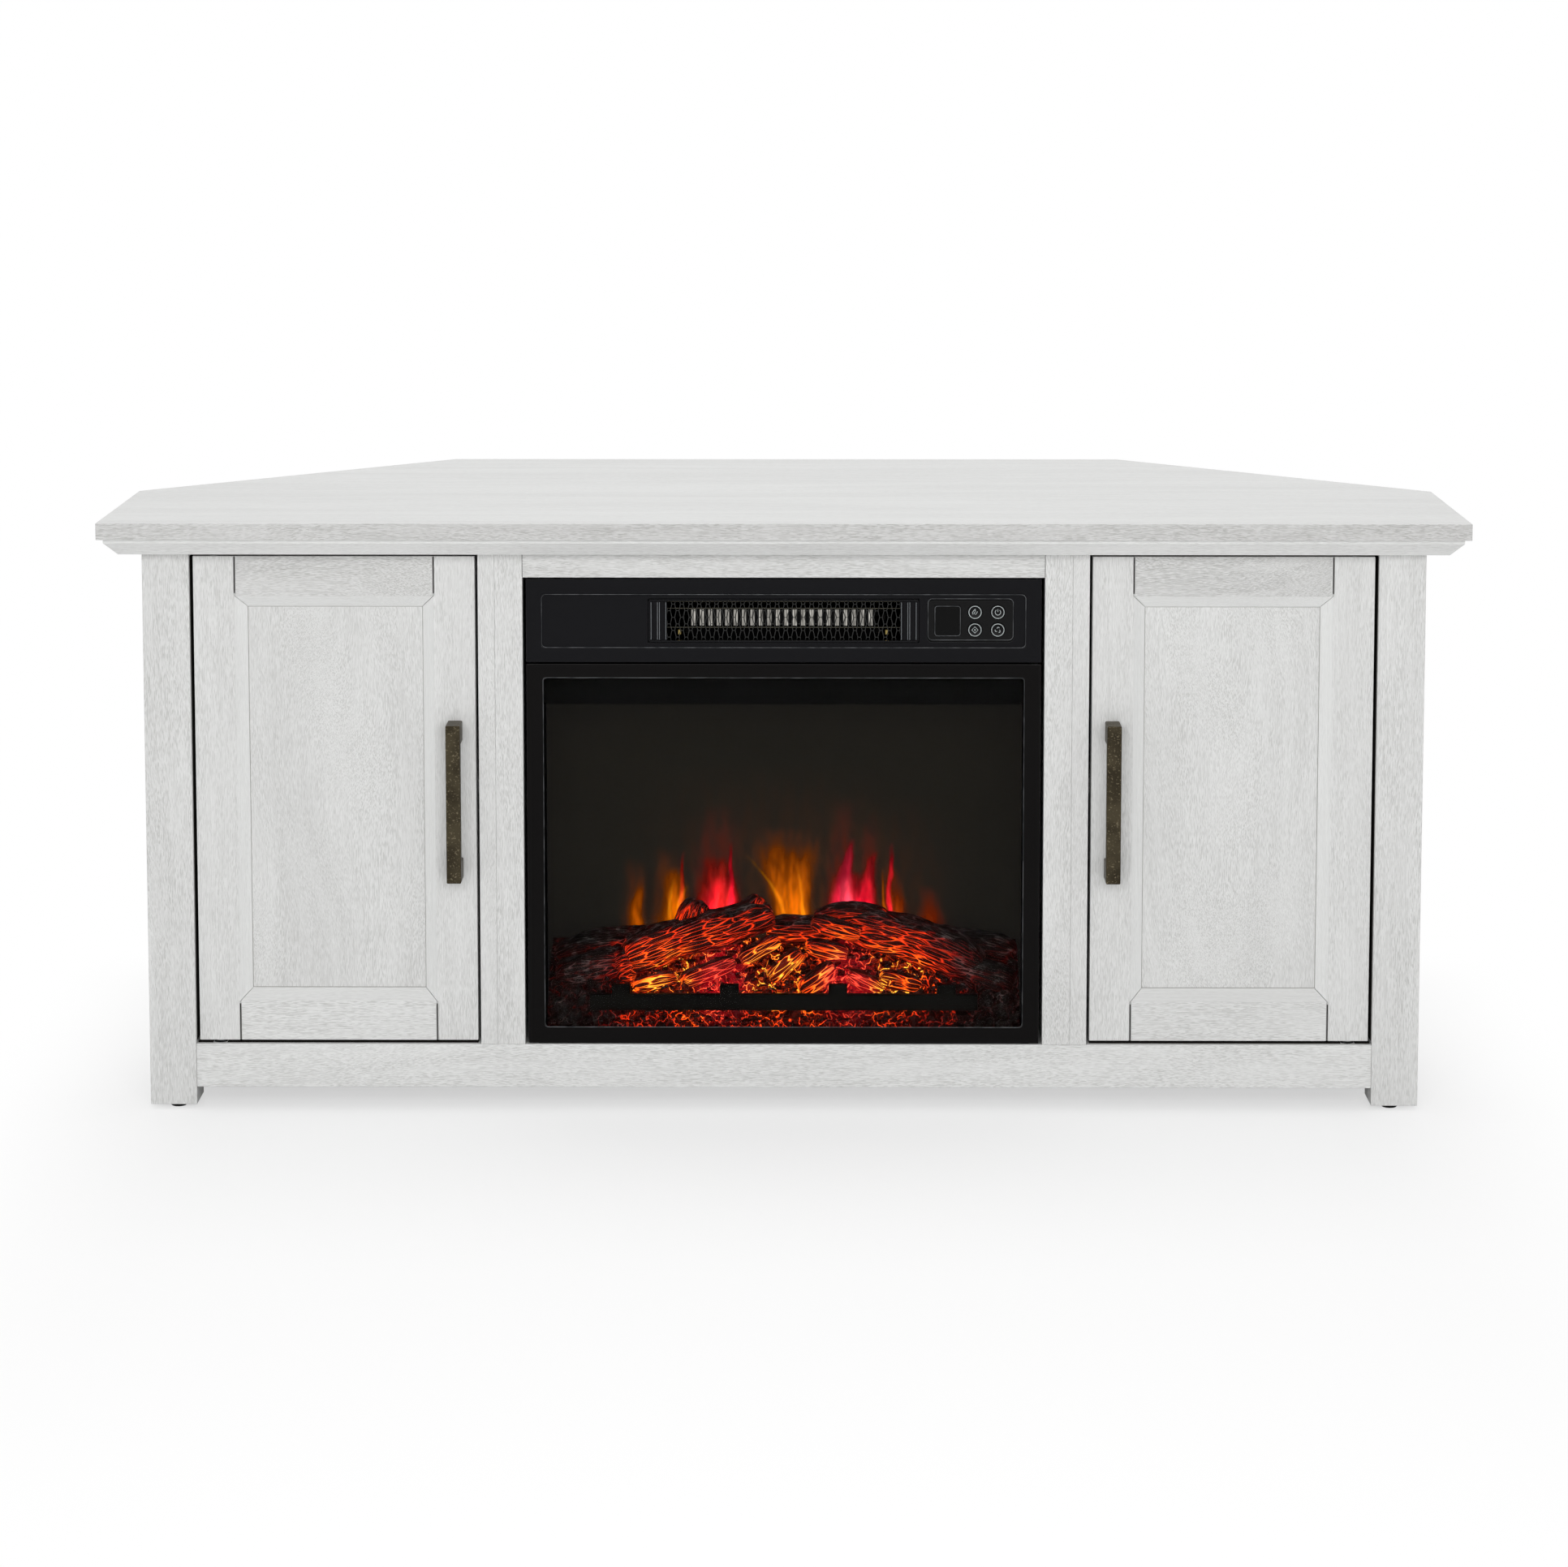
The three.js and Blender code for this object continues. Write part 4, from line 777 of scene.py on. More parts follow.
face_depth, fin_depth = (low.y, high.y), (low.y - fin_proud, high.y)
plate_depth = (low.y + plate_sunk, high.y)
rim_z = (opening_z[0] - frame_rim, opening_z[1] + frame_rim)
end = grille_half - frame_rim
bars = []
for sign, rim in ((-1, (rim_z[0], opening_z[0])), (1, (opening_z[1], rim_z[1]))):
    bars.append(box_piece("rim", (-grille_half, grille_half), face_depth, rim))
    bars.append(box_piece("end", on_side(sign, end, grille_half), face_depth, rim_z))
    bars.append(box_piece("plate", on_side(sign, net_half + fin_width, end), plate_depth, opening_z))
    for i in range(fin_count + 1):
        fin = net_half + i * fin_pitch
        bars.append(box_piece("fin", on_side(sign, fin, fin + fin_width), fin_depth, opening_z))
grille = soften(joined("outlet_grille_frame", bars), frame_edge)
settle(grille, "outlet_grille", black_steel, replaces=["outlet_grille"])

# %% Heating ribbon behind the net, with painted sheen
# in shares of a fold: what the last one lacks, where the middle of a face lies, how far the face
# reaches from there, and where the painted highlights on its edges begin
folds, last_lacks, face_middle = 22, 0.3, 0.35
face_reach, bright_from = (0.19, 0.26), (0.04, 0.14)
fold_depth = (0.6 * mm, 1.8 * mm)
# The ribbon is not alight. Its emission is a painted sheen on the fronts of the folds, brightest in two
# lines at their edges and fading into the folds, and the near-black colour between the folds is painted
# shade.
heater_painted_sheen, surface = new_material("heater alloy", metallic=0.5, roughness=0.45, emission_strength=0.95)
place = coordinate(surface)
low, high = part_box("heating_ribbon")
fold_pitch = (high.x - low.x) / (folds - last_lacks)
near_fold = place.axis(1).spread(*beyond(low.y, fold_depth), 1.0, 0.0)
streak = patches(place, (700, 700, 90), detail=3.0).spread(0.30, 0.70)
tarnish = blend(streak, (0.04, 0.038, 0.034, 1), (0.12, 0.115, 0.105, 1))
off_middle = abs(calc("FRACT", (place.axis(0) - low.x) / fold_pitch) - face_middle)
face_share = off_middle.spread(*face_reach, 1.0, 0.0)
edge_highlights = off_middle.spread(*bright_from, 0.35, 1.0)
surface["Base Color"] = blend(face_share, grey(0.002), tarnish)
sheen = blend(streak, (0.12, 0.112, 0.10, 1), (0.62, 0.60, 0.55, 1))
surface["Emission Color"] = blend(face_share * edge_highlights * near_fold, grey(0.003), sheen)
paint(nodes["heating_ribbon"], heater_painted_sheen)

# The terminals glow a little, though they hold no lamp: their emission is a painted glint.
brass_painted_glint = plain("brass terminal", (0.55, 0.42, 0.16, 1), 0.35, metallic=0.9,
              emission_color=(0.30, 0.23, 0.07, 1), emission_strength=0.35)
terminal_wide, terminal_edge = 2.6 * mm, 0.4 * mm
terminal_x = (low.x - 10 * mm, high.x + 12 * mm)
terminal_y, terminal_z = beyond(low.y, (2 * mm, 5 * mm)), beyond(low.z, (-8.5 * mm, -4.5 * mm))
terminals = [box_piece("terminal", around(x, terminal_wide), terminal_y, terminal_z)
             for x in terminal_x]
settle(soften(joined("heater_terminals", terminals), terminal_edge), "heating_ribbon", brass_painted_glint)

# %% [markdown]
# ## Controls
#
# A dark display sits beside four round buttons. Each button is a shallow dish with a printed ring and
# a plain sign: a flame, the common power sign, a timer and a fan. The signs are thin raised lines, and
# they ride on the button's own body, so that they go in with it when it is pressed.


# %% Turned pieces and raised lines
def turned_front(name, profile, centre, segments=48):
    """A profile of (radius, depth) turned about the line through centre that points at the viewer."""
    work = bmesh.new()
    rings = []
    for radius, y in profile:
        angles = [2 * math.pi * i / segments for i in range(segments if radius else 1)]
        spots = [(centre.x + radius * math.cos(a), y, centre.z + radius * math.sin(a)) for a in angles]
        rings.append([work.verts.new(spot) for spot in spots])
    for first, second in zip(rings, rings[1:]):
        for i in range(segments):
            corners = [first[i % len(first)], first[(i + 1) % len(first)],
                       second[(i + 1) % len(second)], second[i % len(second)]]
            work.faces.new(list(dict.fromkeys(corners)))
    bmesh.ops.recalc_face_normals(work, faces=work.faces)
    return finished(work, name)


def raised_line(name, strokes, width, y):
    """Round lines along strokes of (x, z) points on the plane at depth y. A stroke may be closed."""
    curve = bpy.data.curves.new(name, "CURVE")
    curve.dimensions = "3D"
    curve.bevel_depth, curve.bevel_resolution = width / 2, 1
    for points, closed in strokes:
        spline = curve.splines.new("POLY")
        spline.points.add(len(points) - 1)
        spline.use_cyclic_u = closed
        for point, (x, z) in zip(spline.points, points):
            point.co = (x, y, z, 1)
    drawn = link(name, curve)
    mesh = evaluated(drawn)
    bpy.data.objects.remove(drawn)
    mesh.shade_smooth()
    return link(name, mesh)


def arc(radius, start, end, steps=24, middle=(0, 0)):
    """Points on an arc between two angles in degrees."""
    angles = [math.radians(start + (end - start) * i / steps) for i in range(steps + 1)]
    return [(middle[0] + radius * math.cos(a), middle[1] + radius * math.sin(a)) for a in angles]


# %% Button signs, in millimetres about the button's middle
flame_sign = [
    ([(-1.9, -2.0), (-2.5, -0.6), (-1.9, 0.9), (-0.4, 2.6), (0.3, 3.2), (0.1, 1.9), (0.5, 0.9)], False),
    ([(-0.9, -1.7), (-0.8, -0.6), (0.2, 0.5)], False),
    ([(0.3, -2.3), (1.1, -1.4), (1.9, -0.2), (2.3, 0.8)], False),
]
power_sign = [(arc(2.7, 125, 415), False), ([(0, 0.4), (0, 3.1)], False)]
timer_sign = [([(0, 3.1), (3.1, 0), (0, -3.1), (-3.1, 0)], True), (arc(0.45, 0, 330, 6), True)]
blade_reach = 1.7
fan_sign = []
for turn in (75, 195, 315):
    blade = (blade_reach * math.cos(math.radians(turn)), blade_reach * math.sin(math.radians(turn)))
    fan_sign.append((arc(1.1, turn - 60, turn + 120, 8, blade), False))
signs = {"flame": flame_sign, "power": power_sign, "timer": timer_sign, "heat": fan_sign}

print_grey, surface = new_material("printed grey", roughness=0.5)
faded = patches(coordinate(surface), 900)
surface["Base Color"] = blend(faded, (0.34, 0.38, 0.38, 1), (0.52, 0.56, 0.56, 1))
button_black = powder_coat("button black", (0.005, 0.005, 0.0055, 1), 0.3, 0.25)

# %% Buttons
ring_width, sign_width, sign_size = 0.72 * mm, 0.62 * mm, 0.92 * mm
ring_sunk, sign_sunk = 0.22 * mm, 0.3 * mm
button_radius, skirt_thick = 6.25 * mm, 1.2 * mm
# the dish of a button from its middle to its rim: share of the radius, millimetres behind the front
dish = [(0, 0.5), (0.55, 0.42), (0.80, 0.12), (0.88, 0), (0.95, 0.05), (1, 0.5)]
ring_points = arc(0.885 * button_radius, 0, 352.5, 47)


def moved(points, centre, size=1.0):
    return [(centre.x + x * size, centre.z + z * size) for x, z in points]


for word, sign in signs.items():
    node = f"button_{word}"
    low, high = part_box(node)
    centre = (low + high) / 2
    front, back, skirt = low.y, high.y, (high.x - low.x) / 2
    profile = [(share * button_radius, front + sunk * mm) for share, sunk in dish]
    skirt_front = back - skirt_thick
    profile += [(button_radius, skirt_front), (skirt, skirt_front), (skirt, back), (0, back)]
    cap = turned_front(node + "_cap", profile, centre)
    cap.data.shade_smooth()
    cap.data.set_sharp_from_angle(angle=math.radians(50))
    settle(cap, node, button_black, replaces=[node])
    ring = [(moved(ring_points, centre), True)]
    settle(raised_line(node + "_ring", ring, ring_width, front + ring_sunk), node, print_grey)
    strokes = [(moved(points, centre, sign_size), closed) for points, closed in sign]
    settle(raised_line(node + "_sign", strokes, sign_width, front + sign_sunk), node, print_grey)

# %% Display
low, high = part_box("control_panel")
display_black = powder_coat("display lens", (0.0035, 0.0035, 0.0035, 1), 0.16, 0.2)
display_x, display_z, display_radius = (135.6 * mm, 158.4 * mm), (434.1 * mm, 460.9 * mm), 2.4 * mm
lens_front, lens_back, lens_edge = -223.05 * mm, -221.9 * mm, 0.35 * mm


def rounded_outline(x, z, radius, steps=6):
    """Points of a rounded rectangle, from its upper right corner."""
    points = []
    for turn, (i, j) in enumerate(((1, 1), (0, 1), (0, 0), (1, 0))):
        middle = (x[i] + radius * (1 - 2 * i), z[j] + radius * (1 - 2 * j))
        points += arc(radius, 90 * turn, 90 * turn + 90, steps, middle)
    return points


work = bmesh.new()
outline = rounded_outline(display_x, display_z, display_radius)
face = work.faces.new([work.verts.new((x, lens_front, z)) for x, z in outline])
grown = bmesh.ops.extrude_face_region(work, geom=[face])["geom"]
far_side = [item for item in grown if isinstance(item, bmesh.types.BMVert)]
bmesh.ops.translate(work, verts=far_side, vec=(0, lens_back - lens_front, 0))
bmesh.ops.recalc_face_normals(work, faces=work.faces)
settle(soften(finished(work, "display_lens"), lens_edge), "control_panel", display_black)

# %% Painted highlights: thin light lines on the pressed edges
# The raised lines are a lighter grey than the steel round them: they are painted highlights where the
# rounded edges of the recess, the window and the control panel catch the light.
painted_edge_highlight, surface = new_material("pressed edge", roughness=0.4, specular_ior_level=0.4)
highlight_patches = patches(coordinate(surface), 90).spread(0.35, 0.65)
surface["Base Color"] = blend(highlight_patches, (0.038, 0.041, 0.044, 1), (0.125, 0.130, 0.136, 1))
highlight_line_width = 0.55 * mm
# each line is a rounded rectangle: its node and number, x, z, radius and depth
highlight_lines = [
    ("upper_fascia", 0, (-217 * mm, 217 * mm), (423.5 * mm, 471.5 * mm), 4 * mm,
     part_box("upper_fascia")[0].y + 0.10 * mm),
    ("window_frame", 0, (-216 * mm, 216 * mm), (75.7 * mm, 396 * mm), 2.5 * mm,
     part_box("window_frame")[0].y + 0.10 * mm),
    ("control_panel", 0, (129.4 * mm, 205.8 * mm), (430.3 * mm, 467.6 * mm), 4 * mm, low.y + 0.12 * mm),
    ("control_panel", 1, display_x, display_z, display_radius, -223.1 * mm),
]
for node, number, x, z, radius, depth in highlight_lines:
    stroke = (rounded_outline(x, z, radius), True)
    line = raised_line(f"{node}_edge_line_{number}", [stroke], highlight_line_width, depth)
    settle(line, node, painted_edge_highlight)

# The light lines on the edges of the fins are painted highlights.
fin_line_width, fin_line_short, fin_line_aside = 0.6 * mm, 1 * mm, 0.9 * mm
fin_steps = (0, fin_pitch - fin_line_aside, fin_pitch + fin_line_aside, 2 * fin_pitch)
fin_x = [sign * (net_half + step + fin_width / 2) for sign in (-1, 1) for step in fin_steps]
fin_z = (opening_z[0] + fin_line_short, opening_z[1] - fin_line_short)
fin_painted_highlight = plain("fin edge", (0.16, 0.17, 0.18, 1), 0.4)
fin_strokes = [([(x, z) for z in fin_z], False) for x in fin_x]
fin_highlights = raised_line("fin_edge_lines", fin_strokes, fin_line_width, fin_depth[0])
settle(fin_highlights, "outlet_grille", fin_painted_highlight)

low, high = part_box("heating_ribbon")
rod_ends = (low.x - 26 * mm, high.x + 27 * mm)
rod_heights = (low.z - 1.4 * mm, high.z + 1.4 * mm, high.z + 7.6 * mm)
rod_width, rod_ahead = 0.5 * mm, 1.5 * mm
# The support rods are real, but their light grey is partly a painted glint, for the dashes of light seen
# through the net.
rod_painted_glint = plain("support rod", (0.16, 0.15, 0.11, 1), 0.4)
rod_strokes = [([(x, z) for x in rod_ends], False) for z in rod_heights]
rods = raised_line("heater_rods", rod_strokes, rod_width, low.y - rod_ahead)
settle(rods, "heating_ribbon", rod_painted_glint)

# %% [markdown]
# ## Flames on the screen
#
# The flames aren't solid: turning flaps throw light on a smoked screen behind the logs. So they are
# light in the screen's own material. One node group draws a tongue: a soft column that narrows or
# flares as it rises, broken into upright filaments. It is placed once for each flame in the photograph.

# %% Flame group
tongue, given, result = new_group(
    "flame tongue", "ShaderNodeTree",
    "X, Z, Filaments, Base X, Base Z, Height, Half width, Flare, Lean, Color: Color", "Color: Color")
# how fast a tongue fades as it rises, how far it begins below its base, its least width, and the
# shape of its sides
fade_power, starts_below, least_width, side_power, side_fall = 1.1, -0.6, 0.1, 2.8, -1.3
above = (given["Z"] - given["Base Z"]) / given["Height"]
rise = above.most(0.0)
fade = calc("SUBTRACT", 1.0, rise).most(0.0) ** fade_power
start = above.spread(starts_below, 0.0)
centre_x = given["Lean"] * (rise * rise) + given["Base X"]
width = given["Half width"] * (given["Flare"] * rise + 1.0).most(least_width)
aside = abs((given["X"] - centre_x) / width) ** side_power
column = calc("POWER", 2.718, aside * side_fall)
result["Color"] = blend(column * fade * (start * given["Filaments"]), black, given["Color"])

# %% Screen with every flame
amber, low_amber, dim_amber = (0.70, 0.132, 0.0, 1), (0.32, 0.058, 0.0, 1), (0.12, 0.022, 0.0, 1)
gold, orange, dim_orange = (0.50, 0.18, 0.003, 1), (0.30, 0.028, 0.0, 1), (0.13, 0.010, 0.0, 1)
red, dim_red, haze = (0.66, 0.010, 0.010, 1), (0.078, 0.003, 0.002, 1), (0.022, 0.006, 0.0012, 1)
crimson, pink, rose = (0.98, 0.0, 0.030, 1), (0.60, 0.13, 0.17, 1), (1.0, 0.006, 0.070, 1)
# x and z of the base, height, half width, flare, lean (millimetres), colour
flames = [
    (-138, 148, 62, 11, -0.3, -3, dim_amber),
    (-137, 150, 42, 6, -0.5, 3, low_amber),
    (-106, 156, 64, 13, -0.2, -6, dim_amber),
    (-101, 154, 46, 12, -0.45, 0, amber),
    (-107, 160, 30, 2.2, -0.5, 6, gold),
    (-97, 158, 26, 3, -0.5, 8, gold),
    (-95, 168, 48, 2.4, -0.5, 1, red),
    (-62, 166, 44, 16, -0.2, -3, red),
    (-60, 162, 30, 15, -0.4, 2, crimson),
    (-57, 162, 24, 10, -0.5, 2, orange),
    (-49.5, 164, 60, 2.8, -0.5, 1, crimson),
    (-64, 176, 84, 17, 0.2, 6, dim_red),
    (6, 150, 88, 13, 1.2, -10, low_amber),
    (8, 148, 74, 10.5, 1.3, -9, amber),
    (2, 140, 72, 2.4, -0.3, -38, gold),
    (-5, 150, 56, 2.0, -0.3, -8, low_amber),
    (17, 146, 58, 2.2, -0.4, -6, gold),
    (18, 150, 80, 5, 0.3, 12, dim_amber),
    (62, 156, 40, 18, -0.35, 2, crimson),
    (54, 158, 70, 9, -0.7, 12, rose),
    (58, 160, 34, 8, -0.6, 0, pink),
    (76, 160, 56, 8, -0.65, 9, crimson),
    (52, 176, 90, 11, 0.0, 6, dim_red),
    (78, 180, 72, 7, 0.0, 4, dim_red),
    (97, 160, 64, 2.4, -0.4, 3, crimson),
    (92, 166, 34, 1.4, -0.3, -2, low_amber),
    (103, 152, 52, 9, -0.4, -6, orange),
    (136, 146, 38, 11, -0.4, -4, dim_orange),
    (-12, 150, 150, 95, 0.1, 0, haze),
    (80, 150, 120, 60, 0.1, 0, haze),
]
smoke_paint, smoke_glow = (0.0070, 0.0062, 0.0040, 1), (0.0052, 0.0047, 0.0044, 1)
screen, surface = new_material("smoked screen", roughness=0.5, specular_ior_level=0.0,
                               emission_strength=1.0)
place = coordinate(surface)
flame_x = (patches(place, (34, 1, 30)) - 0.5) * 0.010 + place.axis(0)
flame_z = place.axis(2)
filaments = patches(place, (120, 1, 34), roughness=0.55).spread(0.32, 0.68, 0.45, 1.2)
total = black
for x, z, height, half_width, flare, lean, colour in flames:
    inputs = {"X": flame_x, "Z": flame_z, "Filaments": filaments, "Base X": x * mm, "Base Z": z * mm,
              "Height": height * mm, "Half width": half_width * mm, "Flare": flare, "Lean": lean * mm,
              "Color": colour}
    drawn = put("ShaderNodeGroup", inputs, node_tree=tongue)
    total = blend(1.0, total, drawn[0], mode="ADD")
flame_share = put("ShaderNodeSeparateColor", {0: total})[0].spread(0.01, 0.12)
surface["Base Color"] = blend(flame_share, smoke_paint, black)
surface["Emission Color"] = blend(1.0, total, blend(flame_share, smoke_glow, black), mode="ADD")
paint(nodes["flame_screen"], screen)

# %% Glass
paint(nodes["front_glass"], plain("clear glass", white, 0.0, transmission_weight=1.0, ior=1.07))

# %% [markdown]
# ## Charred wood and embers
#
# The logs are cast in clear resin and painted like charcoal. Lamps under them shine through wherever
# the paint is thin: in the cracks of the bark and between the coals. One group says how hot a place
# is, brightest low in the middle with two red spots, and a second turns heat and cracks into colour.

# %% Heat group
heat_tree, given, result = new_group(
    "heat", "ShaderNodeTree", "Vector: Vector, Normal: Vector", "Heat, Red")
# heat falls off between these distances from the middle and these heights (metres)
cool_aside, cool_above, cool_below = (0.105, 0.185), (0.118, 0.172), (0.074, 0.098)
# and on faces that look up or down, by the upward part of their normal
looks_up, looks_down = (0.42, 0.80), (-0.85, -0.45)
height, facing = given["Vector"].axis(2), given["Normal"].axis(2)
aside = abs(given["Vector"].axis(0)).spread(*cool_aside, 1.0, 0.03)
along_z = height.spread(*cool_above, 1.0, 0.45) * height.spread(*cool_below, 0.45, 1.0)
by_facing = facing.spread(*looks_up, 1.0, 0.06) * facing.spread(*looks_down, 0.3, 1.0)
blotches = patches(given["Vector"], 36).spread(0.32, 0.66, 0.5, 1.15)
result["Heat"] = aside * along_z * (by_facing * blotches)
# the red spots are measured on the plane of x and z, where z counts a little less
red_x, red_height, red_edge = (-0.056, 0.058), 0.084, (0.014, 0.034)
flat = vector_calc("MULTIPLY", given["Vector"], (1, 0, 0.8))
left_far, right_far = (vector_calc("DISTANCE", flat, (x, 0, red_height), "Value") for x in red_x)
result["Red"] = left_far.spread(*red_edge, 1.0, 0.0).most(right_far.spread(*red_edge, 1.0, 0.0))

# %% Glow group
glow_tree, given, result = new_group("glow", "ShaderNodeTree", "Heat, Red, Cracks", "Color: Color")
line_stops = [(0.0, black), (0.15, (0.11, 0.002, 0.001, 1)), (0.40, (0.68, 0.028, 0.003, 1)),
              (0.64, (0.95, 0.110, 0.005, 1)), (1.0, (1.0, 0.56, 0.045, 1))]
body_stops = [(0.0, black), (0.35, (0.006, 0.0003, 0.0002, 1)), (0.75, (0.018, 0.0008, 0.0003, 1)),
              (1.0, (0.075, 0.0034, 0.0006, 1))]
crimson_line, crimson_body = (1.3, 0.080, 0.042, 1), (0.15, 0.0006, 0.003, 1)


def ramp(value, stops):
    made = put("ShaderNodeValToRGB", {0: value})
    bar = made.inner.color_ramp.elements
    while len(bar) < len(stops):
        bar.new(0.5)
    for element, (place, colour) in zip(bar, stops):
        element.position, element.color = place, colour
    return made[0]


def glowing(heat, red, stops, crimson_colour):
    """Colour of a heat: from red to yellow, and crimson in the red spots."""
    return blend(red, ramp(heat, stops), blend(heat, black, crimson_colour))


in_crack = given["Heat"] * given["Cracks"].spread(0, 1, 0.45, 1.0)
bodies = glowing(given["Heat"], given["Red"], body_stops, crimson_body)
lines = glowing(in_crack, given["Red"], line_stops, crimson_line)
result["Color"] = blend(given["Cracks"], bodies, lines)

# %% Charred finishes
grain_map = "grain"
# width of a crack, and how far noise bends it
crack_wide, little_bent, much_bent = 0.26 * mm, 4 * mm, 10 * mm
# how many cells, and bends, lie in a metre
flake_cells, bends = 300.0, 130.0
glow_strength = 1.9
char_black, ash_and_glint_grey = (0.0034, 0.0025, 0.0021, 1), (0.085, 0.088, 0.086, 1)


def stripes(vector, pitch, width):
    """Thin wavy lines along the grain, one for each pitch across it, with breaks."""
    phase = vector.axis(1) * (1 / pitch) + patches(vector, (34, 90, 1)) * 2.7
    line = abs(calc("FRACT", phase) - 0.5).spread(0.0, width, 1.0, 0.0)
    return line * patches(vector, (75, 300, 1), detail=1.0).spread(0.36, 0.52, 0.12, 1.0)


def cell_lines(vector, scale, width, bent=little_bent):
    """Lines of one width between random cells, bent by noise."""
    warp = put("ShaderNodeTexNoise", {"Vector": vector, "Scale": bends, "Detail": 2.0})["Color"]
    small = vector_calc("SCALE", vector_calc("SUBTRACT", warp, (0.5, 0.5, 0.5)), bent)
    inputs = {"Vector": vector_calc("ADD", vector, small), "Scale": scale}
    near = put("ShaderNodeTexVoronoi", inputs, feature="DISTANCE_TO_EDGE")[0]
    return near.spread(0.0, width * scale * 1.25, 1.0, 0.0)


def wood_cracks(surface, pitch):
    """Cracks that are drawn out along the grain, which the wood keeps in its UV map."""
    vector = put("ShaderNodeUVMap", tree=surface.tree, uv_map=grain_map)[0]
    drawn_out = put("ShaderNodeMapping", {"Vector": vector, "Scale": (0.15, 1.0, 1.0)})[0]
    fibrous = patches(vector, (40, 60, 1), detail=1.0).spread(0.40, 0.60)
    split_lines = stripes(vector, pitch * 0.55, 0.11) * fibrous
    return cell_lines(drawn_out, 1 / pitch, crack_wide).most(split_lines)


def crumb_cracks(place, cells, fine_share):
    """Cracks between coals, with finer ones among them."""
    finer = cell_lines(place, cells * 2.6, crack_wide * 1.2) * fine_share
    return cell_lines(place, cells, crack_wide * 2.1, much_bent).most(finer)


def charred(name, gain, ash_share=0.7, pitch=None, cells=None, fine_share=0.3):
    """Charcoal that glows in its cracks: lines along the grain for wood, cell edges for embers."""
    material, surface = new_material(name, roughness=0.75, specular_ior_level=0.08,
                                     emission_strength=glow_strength)
    place = coordinate(surface)
    cracks = wood_cracks(surface, pitch) if pitch else crumb_cracks(place, cells, fine_share)
    inputs = {"Vector": place, "Normal": coordinate(surface, "Normal")}
    heat = put("ShaderNodeGroup", inputs, node_tree=heat_tree)
    warmth = heat["Heat"] * gain
    inputs = {"Heat": warmth, "Red": heat["Red"], "Cracks": cracks}
    surface["Emission Color"] = put("ShaderNodeGroup", inputs, node_tree=glow_tree)[0]
    # The grey flakes where the wood is cool are partly ash and partly painted highlight, for the grey
    # glints on the dark outer logs.
    flakes = cell_lines(place, flake_cells, crack_wide * 0.75) * 0.5
    thick = patches(place, 110).spread(0.46, 0.62, 0.06, 1.0)
    cool = warmth.spread(0.02, 0.30, 1.0, 0.0) * ash_share
    ash_and_glints = flakes.most(cracks) * (thick * cool)
    surface["Base Color"] = blend(ash_and_glints, char_black, ash_and_glint_grey)
    bump(surface, ash_and_glints * 0.3 - cracks, 0.9 * mm, 0.9)
    return material


bark = charred("charred bark", 0.74, pitch=3.4 * mm)
split_wood = charred("split wood", 0.84, ash_share=0.3, pitch=3.7 * mm)
coal = charred("coal", 0.86, cells=66.0, fine_share=0.1)
ember = charred("ember bed", 1.1, ash_share=0.4, cells=70.0)

# %% [markdown]
# ## Logs
#
# A log is a tube of rings swept between two points. Its section is round for a whole log and squarer
# for a split billet, and noise swells it a little. A map named grain runs along it and round it, over
# the ends too, and the cracks of the charred finish follow that map.

# %% Sweeping a piece of wood
spacing, cap_rings = 1.8 * mm, 5
wood_weld = 0.01 * mm
# noise in the radius: its share, how often it repeats in a metre of length, and round the wood
swells = ((0.20, 30, 1.4), (0.07, 120, 5))
torn_depth, torn_round = 3 * mm, 2.2
# how much a piece narrows at its ends, over which part of its radius, and how far its ends bulge
end_narrows, end_reach, end_bulge = 0.24, 1.1, 0.22


def faced_outward(mesh, close=None):
    """Turns every face outward, after points that are close are welded."""
    work = bmesh.new()
    work.from_mesh(mesh)
    if close:
        bmesh.ops.remove_doubles(work, verts=work.verts, dist=close)
    bmesh.ops.recalc_face_normals(work, faces=work.faces)
    work.to_mesh(mesh)
    work.free()


